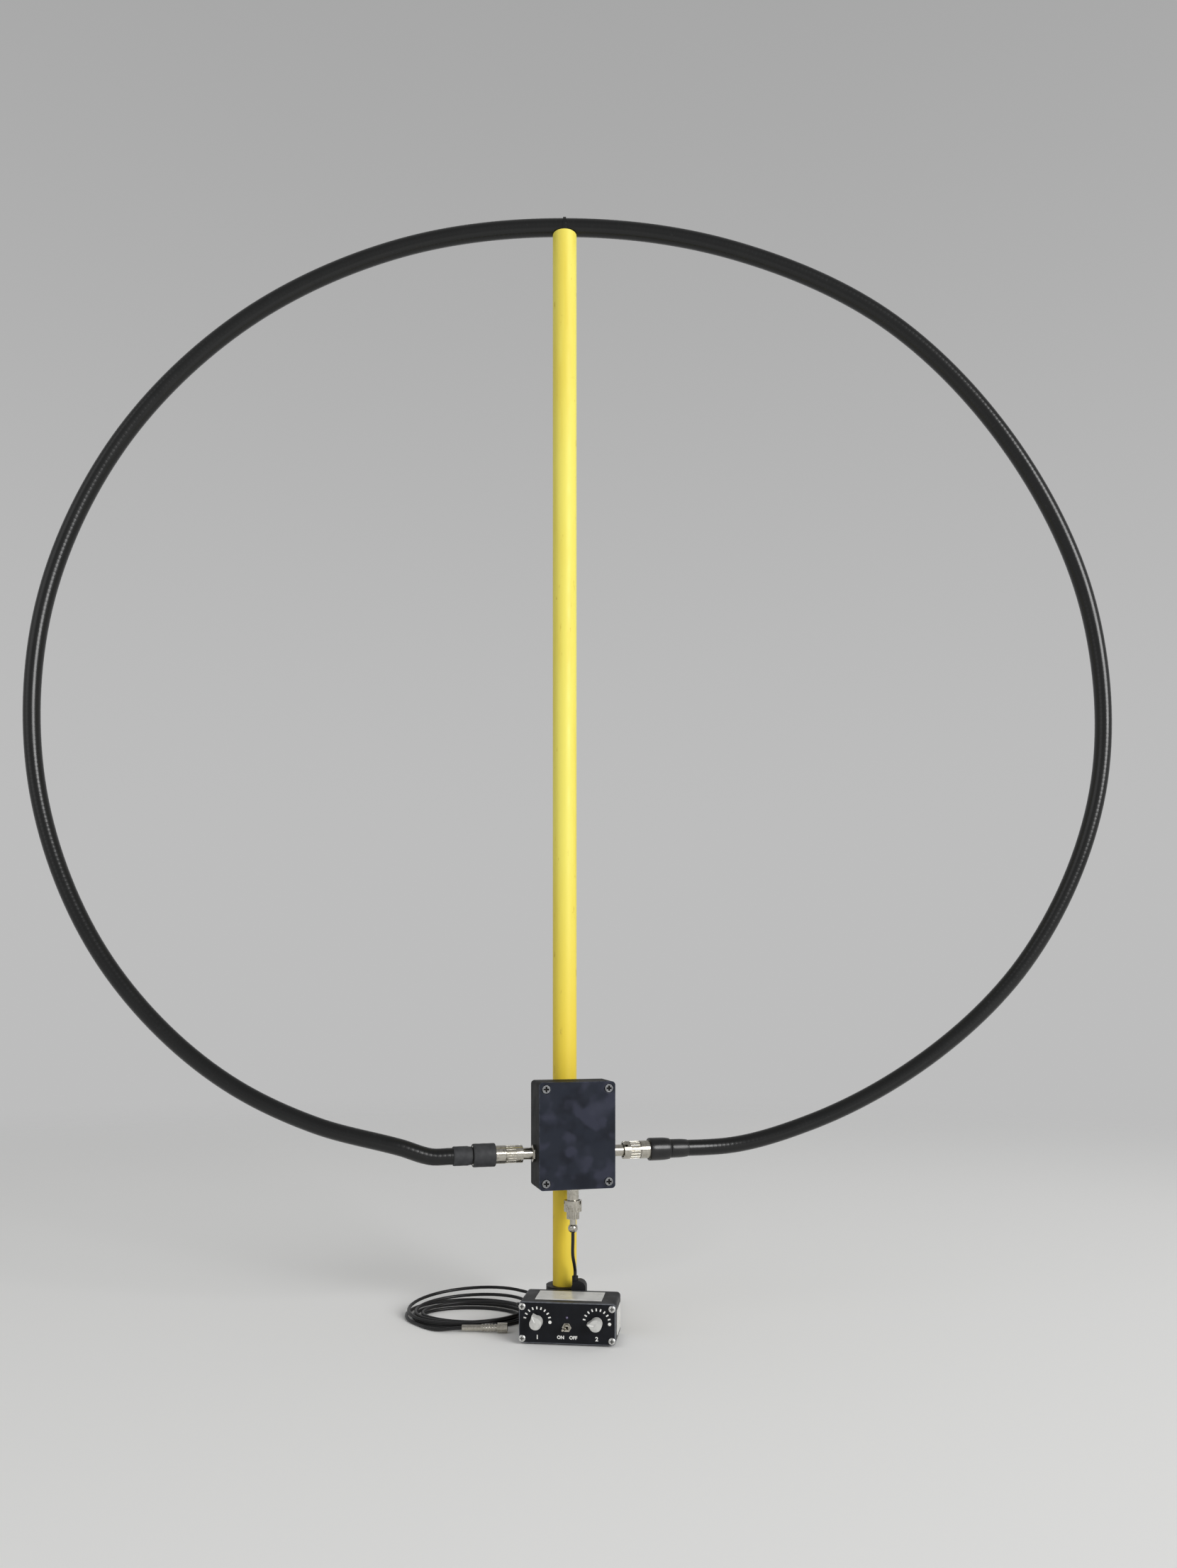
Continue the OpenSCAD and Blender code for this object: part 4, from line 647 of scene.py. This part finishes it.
# Noise at the piece's own coordinates, stretched where the group has an input for that
def noiseNode(group, given):
    spot = addNode(group, "ShaderNodeTexCoord").outputs["Object"]
    noise = addNode(group, "ShaderNodeTexNoise")
    if "Stretch" in given.outputs:
        stretch = addNode(group, "ShaderNodeVectorMath", operation="MULTIPLY")
        group.links.new(spot, stretch.inputs[0])
        group.links.new(given.outputs["Stretch"], stretch.inputs[1])
        spot = stretch.outputs[0]
    group.links.new(spot, noise.inputs["Vector"])
    group.links.new(given.outputs["Scale"], noise.inputs["Scale"])
    return noise


# The colour sockets of a mix node go by number, because their names repeat
mixSocket = {"share": 0, "first": 6, "second": 7, "result": 2}


# The group's base colour, with a share of its other colour over it
def mixedColor(group, given, out, share, other):
    mix = addNode(group, "ShaderNodeMix", data_type="RGBA")
    group.links.new(share, mix.inputs[mixSocket["share"]])
    group.links.new(given.outputs["Base"], mix.inputs[mixSocket["first"]])
    group.links.new(given.outputs[other], mix.inputs[mixSocket["second"]])
    group.links.new(mix.outputs[mixSocket["result"]], out.inputs["Color"])


# Two colours in soft or crisp patches
def mottleGroup():
    group, given, out = newGroup("mottle", [
        ("Base", "NodeSocketColor", (1, 1, 1, 1)), ("Patch", "NodeSocketColor", (0, 0, 0, 1)),
        ("Scale", "NodeSocketFloat", 100), ("Cover", "NodeSocketFloat", 0.5),
        ("Blur", "NodeSocketFloat", 0.1), ("Detail", "NodeSocketFloat", 5),
        ("Stretch", "NodeSocketVector", (1, 1, 1))],
        [("Color", "NodeSocketColor")])
    link = group.links.new
    noise = noiseNode(group, given)
    low = addNode(group, "ShaderNodeMath", operation="SUBTRACT")
    high = addNode(group, "ShaderNodeMath", operation="ADD")
    band = addNode(group, "ShaderNodeMapRange", interpolation_type="SMOOTHSTEP")
    link(given.outputs["Detail"], noise.inputs["Detail"])
    for edge, label in ((low, "From Min"), (high, "From Max")):
        link(given.outputs["Cover"], edge.inputs[0])
        link(given.outputs["Blur"], edge.inputs[1])
        link(edge.outputs[0], band.inputs[label])
    link(noise.outputs["Fac"], band.inputs["Value"])
    mixedColor(group, given, out, band.outputs[0], "Patch")
    return group


# Roughness that wanders between two values
def sheenGroup():
    group, given, out = newGroup("handledSheen", [
        ("Scale", "NodeSocketFloat", 60), ("Low", "NodeSocketFloat", 0.3), ("High", "NodeSocketFloat", 0.5)],
        [("Roughness", "NodeSocketFloat")])
    link = group.links.new
    noise = noiseNode(group, given)
    setInputs(noise, {"Detail": 6})
    band = addNode(group, "ShaderNodeMapRange")
    setInputs(band, {"From Min": 0.3, "From Max": 0.7})
    link(noise.outputs["Fac"], band.inputs["Value"])
    link(given.outputs["Low"], band.inputs["To Min"])
    link(given.outputs["High"], band.inputs["To Max"])
    link(band.outputs[0], out.inputs["Roughness"])
    return group


# Fine moulded or cast relief
def reliefGroup():
    group, given, out = newGroup("fineRelief", [
        ("Scale", "NodeSocketFloat", 1500), ("Strength", "NodeSocketFloat", 0.1),
        ("Depth", "NodeSocketFloat", 0.0002)], [("Normal", "NodeSocketVector")])
    link = group.links.new
    noise = noiseNode(group, given)
    setInputs(noise, {"Detail": 3})
    bump = addNode(group, "ShaderNodeBump")
    link(noise.outputs["Fac"], bump.inputs["Height"])
    link(given.outputs["Strength"], bump.inputs["Strength"])
    link(given.outputs["Depth"], bump.inputs["Distance"])
    link(bump.outputs[0], out.inputs["Normal"])
    return group


# Colour made paler along the marked edge strips: partly wear rubbed through, partly a painted highlight where
# edges catch light
def edgeGroup():
    group, given, out = newGroup("rubbedEdges", [
        ("Base", "NodeSocketColor", (1, 1, 1, 1)), ("Rubbed", "NodeSocketColor", (1, 1, 1, 1)),
        ("Amount", "NodeSocketFloat", 0.6), ("Scale", "NodeSocketFloat", 300)],
        [("Color", "NodeSocketColor")])
    link = group.links.new
    noise = noiseNode(group, given)
    setInputs(noise, {"Detail": 4})
    band = addNode(group, "ShaderNodeMapRange", interpolation_type="SMOOTHSTEP")
    setInputs(band, {"From Min": 0.36, "From Max": 0.62})
    strip = addNode(group, "ShaderNodeAttribute", attribute_name="edgeWear")
    onStrip = addNode(group, "ShaderNodeMath", operation="MULTIPLY")
    share = addNode(group, "ShaderNodeMath", operation="MULTIPLY")
    link(noise.outputs["Fac"], band.inputs["Value"])
    link(band.outputs[0], onStrip.inputs[0])
    link(strip.outputs["Fac"], onStrip.inputs[1])
    link(onStrip.outputs[0], share.inputs[0])
    link(given.outputs["Amount"], share.inputs[1])
    mixedColor(group, given, out, share.outputs[0], "Rubbed")
    return group


# Painted light: colour that gives way to a paler one with height, standing in for light falling stronger
# towards the top
def paintedLightGroup():
    group, given, out = newGroup("fadedUpwards", [
        ("Base", "NodeSocketColor", (1, 1, 1, 1)), ("Faded", "NodeSocketColor", (1, 1, 1, 1)),
        ("Low", "NodeSocketFloat", 0), ("High", "NodeSocketFloat", 1)],
        [("Color", "NodeSocketColor")])
    link = group.links.new
    where = addNode(group, "ShaderNodeTexCoord")
    split = addNode(group, "ShaderNodeSeparateXYZ")
    band = addNode(group, "ShaderNodeMapRange", interpolation_type="SMOOTHSTEP")
    link(where.outputs["Object"], split.inputs[0])
    link(split.outputs["Z"], band.inputs["Value"])
    link(given.outputs["Low"], band.inputs["From Min"])
    link(given.outputs["High"], band.inputs["From Max"])
    mixedColor(group, given, out, band.outputs[0], "Faded")
    return group


groups = {
    "mottle": mottleGroup(), "sheen": sheenGroup(), "relief": reliefGroup(), "edge": edgeGroup(),
    "fade": paintedLightGroup(),
}


def placeGroup(tree, name, **values):
    node = addNode(tree, "ShaderNodeGroup", node_tree=groups[name])
    setInputs(node, values)
    return node


# What a layer of patches and a finish have where they name nothing else
plainLayer = {"scale": 90, "cover": 0.55, "blur": 0.15, "detail": 5, "stretch": (1, 1, 1)}
plainLook = {
    "rubAmount": 0.6, "sheenScale": 70, "grain": 1800, "grainStrength": 0.15, "grainDepth": 0.0002,
    "metal": 0, "specular": 0.5, "coat": 0, "coatRough": 0.1,
}


# A finish: patches of colour over each other, edges paler by wear and by painted highlight, wandering
# roughness and fine relief; where named, a colour turning paler with height as painted light
def finish(name, chosen):
    look = {**plainLook, **chosen}
    material = bpy.data.materials.new(name)
    material.use_nodes = True
    tree = material.node_tree
    shader = tree.nodes["Principled BSDF"]
    color = None
    # Where a look names it, its colour turns paler with height: painted light
    if "faded" in look:
        fade = placeGroup(tree, "fade", Base=look["base"], Faded=look["faded"], Low=look["fadeLow"],
                          High=look["fadeHigh"])
        color = fade.outputs["Color"]
    for layer in look["layers"]:
        patch = {key.capitalize(): layer.get(key, value) for key, value in plainLayer.items()}
        mottle = placeGroup(tree, "mottle", Base=look["base"], Patch=layer["color"], **patch)
        if color:
            tree.links.new(color, mottle.inputs["Base"])
        color = mottle.outputs["Color"]
    # Edge strips painted paler: partly wear, partly painted highlight
    if "rubbed" in look:
        edge = placeGroup(tree, "edge", Rubbed=look["rubbed"], Amount=look["rubAmount"])
        tree.links.new(color, edge.inputs["Base"])
        color = edge.outputs["Color"]
    low, high = look["rough"]
    sheen = placeGroup(tree, "sheen", Scale=look["sheenScale"], Low=low, High=high)
    relief = placeGroup(tree, "relief", Scale=look["grain"], Strength=look["grainStrength"],
                        Depth=look["grainDepth"])
    tree.links.new(color, shader.inputs["Base Color"])
    tree.links.new(sheen.outputs["Roughness"], shader.inputs["Roughness"])
    tree.links.new(relief.outputs["Normal"], shader.inputs["Normal"])
    setInputs(shader, {"Metallic": look["metal"], "Specular IOR Level": look["specular"],
                       "Coat Weight": look["coat"], "Coat Roughness": look["coatRough"]})
    return material


looks = {
    # The mast's paler top is painted light, not a colour of the tube
    "mast_yellow": {
        "base": linear(232, 202, 54), "faded": linear(240, 228, 104), "fadeLow": 0.16, "fadeHigh": 0.42,
        "rubbed": linear(248, 240, 176), "rough": (0.42, 0.56), "grain": 700, "grainStrength": 0.1,
        "specular": 0.4,
        "layers": [
            {"color": linear(230, 206, 70), "scale": 60, "cover": 0.62, "blur": 0.2,
             "stretch": (1, 1, 0.1)},
            {"color": linear(206, 180, 66), "scale": 210, "cover": 0.7, "blur": 0.04,
             "stretch": (1, 1, 0.3)}]},
    "black_plastic": {
        "base": linear(20, 20, 22), "rubbed": linear(58, 58, 60), "rough": (0.42, 0.6), "grain": 2600,
        "specular": 0.35, "layers": [{"color": linear(30, 30, 32)}]},
    "foot_paint": {
        "base": linear(56, 58, 61), "rubbed": linear(120, 121, 122), "rough": (0.4, 0.55), "grain": 1500,
        "grainStrength": 0.3, "layers": [{"color": linear(48, 50, 53)}]},
    "bright_steel": {
        "base": linear(226, 226, 223), "rubbed": linear(246, 246, 244), "rough": (0.2, 0.34), "metal": 1,
        "grain": 3000, "layers": [{"color": linear(196, 196, 194), "scale": 400}]},
    "screw_grey": {
        "base": linear(128, 129, 131), "rubbed": linear(170, 170, 168), "rough": (0.38, 0.5), "metal": 0.85,
        "grain": 3000, "layers": [{"color": linear(104, 105, 108), "scale": 400}]},
    # Recesses in screw heads: painted shade
    "screw_slot": {
        "base": linear(118, 118, 116), "rough": (0.4, 0.55), "metal": 0.7,
        "layers": [{"color": linear(74, 74, 74)}]},
    "screw_cross": {
        "base": linear(14, 14, 15), "rough": (0.6, 0.75), "specular": 0.2,
        "layers": [{"color": linear(22, 22, 23)}]},
    "cable_black": {
        "base": linear(7, 8, 8), "rough": (0.22, 0.28), "grain": 2400, "grainStrength": 0.04,
        "specular": 0.46,
        "layers": [{"color": linear(12, 13, 13), "scale": 50, "blur": 0.3},
                   {"color": linear(24, 25, 26), "scale": 240, "cover": 0.7, "blur": 0.06}]},
    "nickel": {
        "base": linear(196, 192, 182), "rubbed": linear(244, 242, 236), "rubAmount": 0.8,
        "rough": (0.08, 0.22), "metal": 1, "grain": 2200, "grainStrength": 0.05,
        "layers": [{"color": linear(172, 167, 155), "scale": 500, "blur": 0.2},
                   {"color": linear(122, 116, 104), "scale": 160, "cover": 0.66, "blur": 0.06}]},
    "shrink_grey": {
        "base": linear(44, 45, 47), "rough": (0.55, 0.72), "grain": 1600, "grainStrength": 0.25,
        "specular": 0.4, "layers": [{"color": linear(58, 59, 61), "scale": 200, "blur": 0.25}]},
    "shrink_black": {
        "base": linear(18, 18, 19), "rough": (0.22, 0.36), "grain": 1400, "grainStrength": 0.12,
        "layers": [{"color": linear(27, 27, 28), "scale": 160, "blur": 0.25}]},
    "box_slate": {
        "base": linear(32, 36, 46), "rubbed": linear(100, 105, 118), "rubAmount": 0.9, "rough": (0.56, 0.7),
        "grain": 2600, "grainStrength": 0.18, "specular": 0.16,
        "layers": [{"color": linear(24, 27, 36), "scale": 52, "cover": 0.54, "blur": 0.1, "detail": 2},
                   {"color": linear(47, 49, 62), "scale": 64, "cover": 0.58, "blur": 0.09, "detail": 1.5},
                   {"color": linear(53, 55, 68), "scale": 30, "cover": 0.67, "blur": 0.09, "detail": 1}]},
    # The shell is a darker copy of the lid's slate: painted shade on the box's shaded sides
    "shell_slate": {
        "base": linear(8, 9, 11), "rubbed": linear(52, 56, 64), "rough": (0.5, 0.64), "grain": 2600,
        "grainStrength": 0.18, "specular": 0.16,
        "layers": [{"color": linear(13, 14, 17), "scale": 70, "blur": 0.2}]},
    "board_green": {
        "base": linear(38, 92, 58), "rough": (0.4, 0.5), "layers": [{"color": linear(52, 112, 70)}]},
    "core_grey": {
        "base": linear(84, 85, 88), "rough": (0.5, 0.7),
        "layers": [{"color": linear(70, 71, 74), "scale": 500}]},
    "core_red": {
        "base": linear(160, 50, 38), "rough": (0.45, 0.6),
        "layers": [{"color": linear(140, 40, 30), "scale": 500}]},
    "copper_wire": {
        "base": linear(196, 104, 52), "rough": (0.25, 0.35), "metal": 0.9,
        "layers": [{"color": linear(176, 84, 40), "scale": 300}]},
    "cord_black": {
        "base": linear(15, 15, 16), "rough": (0.3, 0.45), "grain": 2600, "grainStrength": 0.1,
        "specular": 0.4, "layers": [{"color": linear(24, 24, 25), "scale": 70, "blur": 0.25}]},
    "case_black": {
        "base": linear(12, 14, 17), "rubbed": linear(62, 65, 73), "rough": (0.36, 0.5), "grain": 2200,
        "grainStrength": 0.2, "specular": 0.22, "layers": [{"color": linear(18, 20, 24)}]},
    "panel_black": {
        "base": linear(12, 14, 19), "rough": (0.42, 0.55), "grain": 2800, "grainStrength": 0.12,
        "specular": 0.22, "layers": [{"color": linear(18, 20, 26)}]},
    # Panel rims: painted highlight, paler than the panel's black
    "panel_edge": {
        "base": linear(80, 83, 89), "rubbed": linear(112, 116, 123), "rough": (0.4, 0.55), "grain": 2400,
        "layers": [{"color": linear(66, 69, 75), "scale": 300}]},
    "foot_rubber": {
        "base": linear(22, 22, 22), "rough": (0.7, 0.85), "grain": 2000, "specular": 0.3,
        "layers": [{"color": linear(32, 32, 32)}]},
    "pale_plate": {
        "base": linear(216, 216, 212), "rubbed": linear(235, 235, 232), "rough": (0.18, 0.3), "grain": 900,
        "grainStrength": 0.05, "layers": [{"color": linear(202, 202, 199)}]},
    "white_print": {
        "base": linear(236, 236, 232), "rough": (0.5, 0.6), "grain": 3000,
        "layers": [{"color": linear(212, 212, 208), "scale": 700, "cover": 0.6}]},
    "knob_grey": {
        "base": linear(196, 196, 192), "rough": (0.4, 0.52), "grain": 2600, "grainStrength": 0.15,
        "layers": [{"color": linear(180, 180, 177), "scale": 300}]},
    "capacitor_white": {
        "base": linear(214, 210, 198), "rough": (0.35, 0.45), "layers": [{"color": linear(204, 200, 188)}]},
    "lamp_lens": {
        "base": linear(104, 96, 122), "rough": (0.08, 0.14), "coat": 0.6, "coatRough": 0.05,
        "layers": [{"color": linear(92, 84, 110), "scale": 400}]},
}
materials = {name: finish(name, look) for name, look in looks.items()}
for node, slot in slotOf.items():
    finishOf[nodes[node]] = slot
finishOf.update({feedCord: "cord_black", jumperCord: "cord_black", loopPiece: "cable_black"})
for node in nodes.values():
    node.data.materials.clear()
for piece, look in finishOf.items():
    piece.data.materials.append(materials[look])
    if piece in secondLook:
        piece.data.materials.append(materials[secondLook[piece]])
print("materials placed:", len(materials))

# Floor and light, in metres and watts
studio = {
    "floorReach": 4, "floorSegments": 128, "fadeFrom": 0.8, "fadeTo": 2.3,
    "floorColor": (0.94, 0.94, 0.93, 1), "floorRough": 0.9, "floorSpecular": 0.2,
    "lamps": {
        "keyLight": {"at": (2.6, -2.9, 1.75), "target": (0, 0, 0.5), "size": 2.2, "power": 116},
        "fillLight": {"at": (-2.7, -2.4, 2.1), "target": (0, 0, 0.4), "size": 2.6, "power": 10},
    },
    "roomColor": (1, 1, 1, 1), "roomSide": 0.51, "roomTop": 0.35, "sideUpTo": 0.1, "topFrom": 0.9,
}


# A round floor that fades into the room's own colour
def studioFloor(part):
    bm = bmesh.new()
    bmesh.ops.create_circle(bm, cap_ends=True, segments=part["floorSegments"], radius=part["floorReach"])
    floor = newPiece("studioFloor", bm)
    look = bpy.data.materials.new("paleFloor")
    look.use_nodes = True
    tree = look.node_tree
    shader = tree.nodes["Principled BSDF"]
    setInputs(shader, {"Base Color": part["floorColor"], "Roughness": part["floorRough"],
                       "Specular IOR Level": part["floorSpecular"]})
    where = addNode(tree, "ShaderNodeTexCoord")
    reach = addNode(tree, "ShaderNodeVectorMath", operation="LENGTH")
    fade = addNode(tree, "ShaderNodeMapRange", interpolation_type="SMOOTHSTEP")
    setInputs(fade, {"From Min": part["fadeFrom"], "From Max": part["fadeTo"], "To Min": 1, "To Max": 0})
    tree.links.new(where.outputs["Object"], reach.inputs[0])
    tree.links.new(reach.outputs["Value"], fade.inputs["Value"])
    tree.links.new(fade.outputs[0], shader.inputs["Alpha"])
    floor.data.materials.append(look)


def areaLight(name, lamp):
    data = bpy.data.lights.new(name, "AREA")
    data.shape = "DISK"
    data.size = lamp["size"]
    data.energy = lamp["power"]
    obj = linked(name, data)
    obj.location = lamp["at"]
    obj.rotation_mode = "QUATERNION"
    obj.rotation_quaternion = (Vector(lamp["target"]) - Vector(lamp["at"])).to_track_quat("-Z", "Y")


# Room light, a little brighter round the sides than overhead
def softRoom(part):
    world = bpy.data.worlds.new("softRoom")
    bpy.context.scene.world = world
    world.use_nodes = True
    tree = world.node_tree
    where = addNode(tree, "ShaderNodeTexCoord")
    split = addNode(tree, "ShaderNodeSeparateXYZ")
    rise = addNode(tree, "ShaderNodeMapRange", interpolation_type="SMOOTHSTEP")
    setInputs(rise, {"From Min": part["sideUpTo"], "From Max": part["topFrom"],
                     "To Min": part["roomSide"], "To Max": part["roomTop"]})
    setInputs(tree.nodes["Background"], {"Color": part["roomColor"]})
    tree.links.new(where.outputs["Generated"], split.inputs[0])
    tree.links.new(split.outputs["Z"], rise.inputs["Value"])
    tree.links.new(rise.outputs[0], tree.nodes["Background"].inputs["Strength"])


studioFloor(studio)
for name, lamp in studio["lamps"].items():
    areaLight(name, lamp)
softRoom(studio)
print("floor and light set")
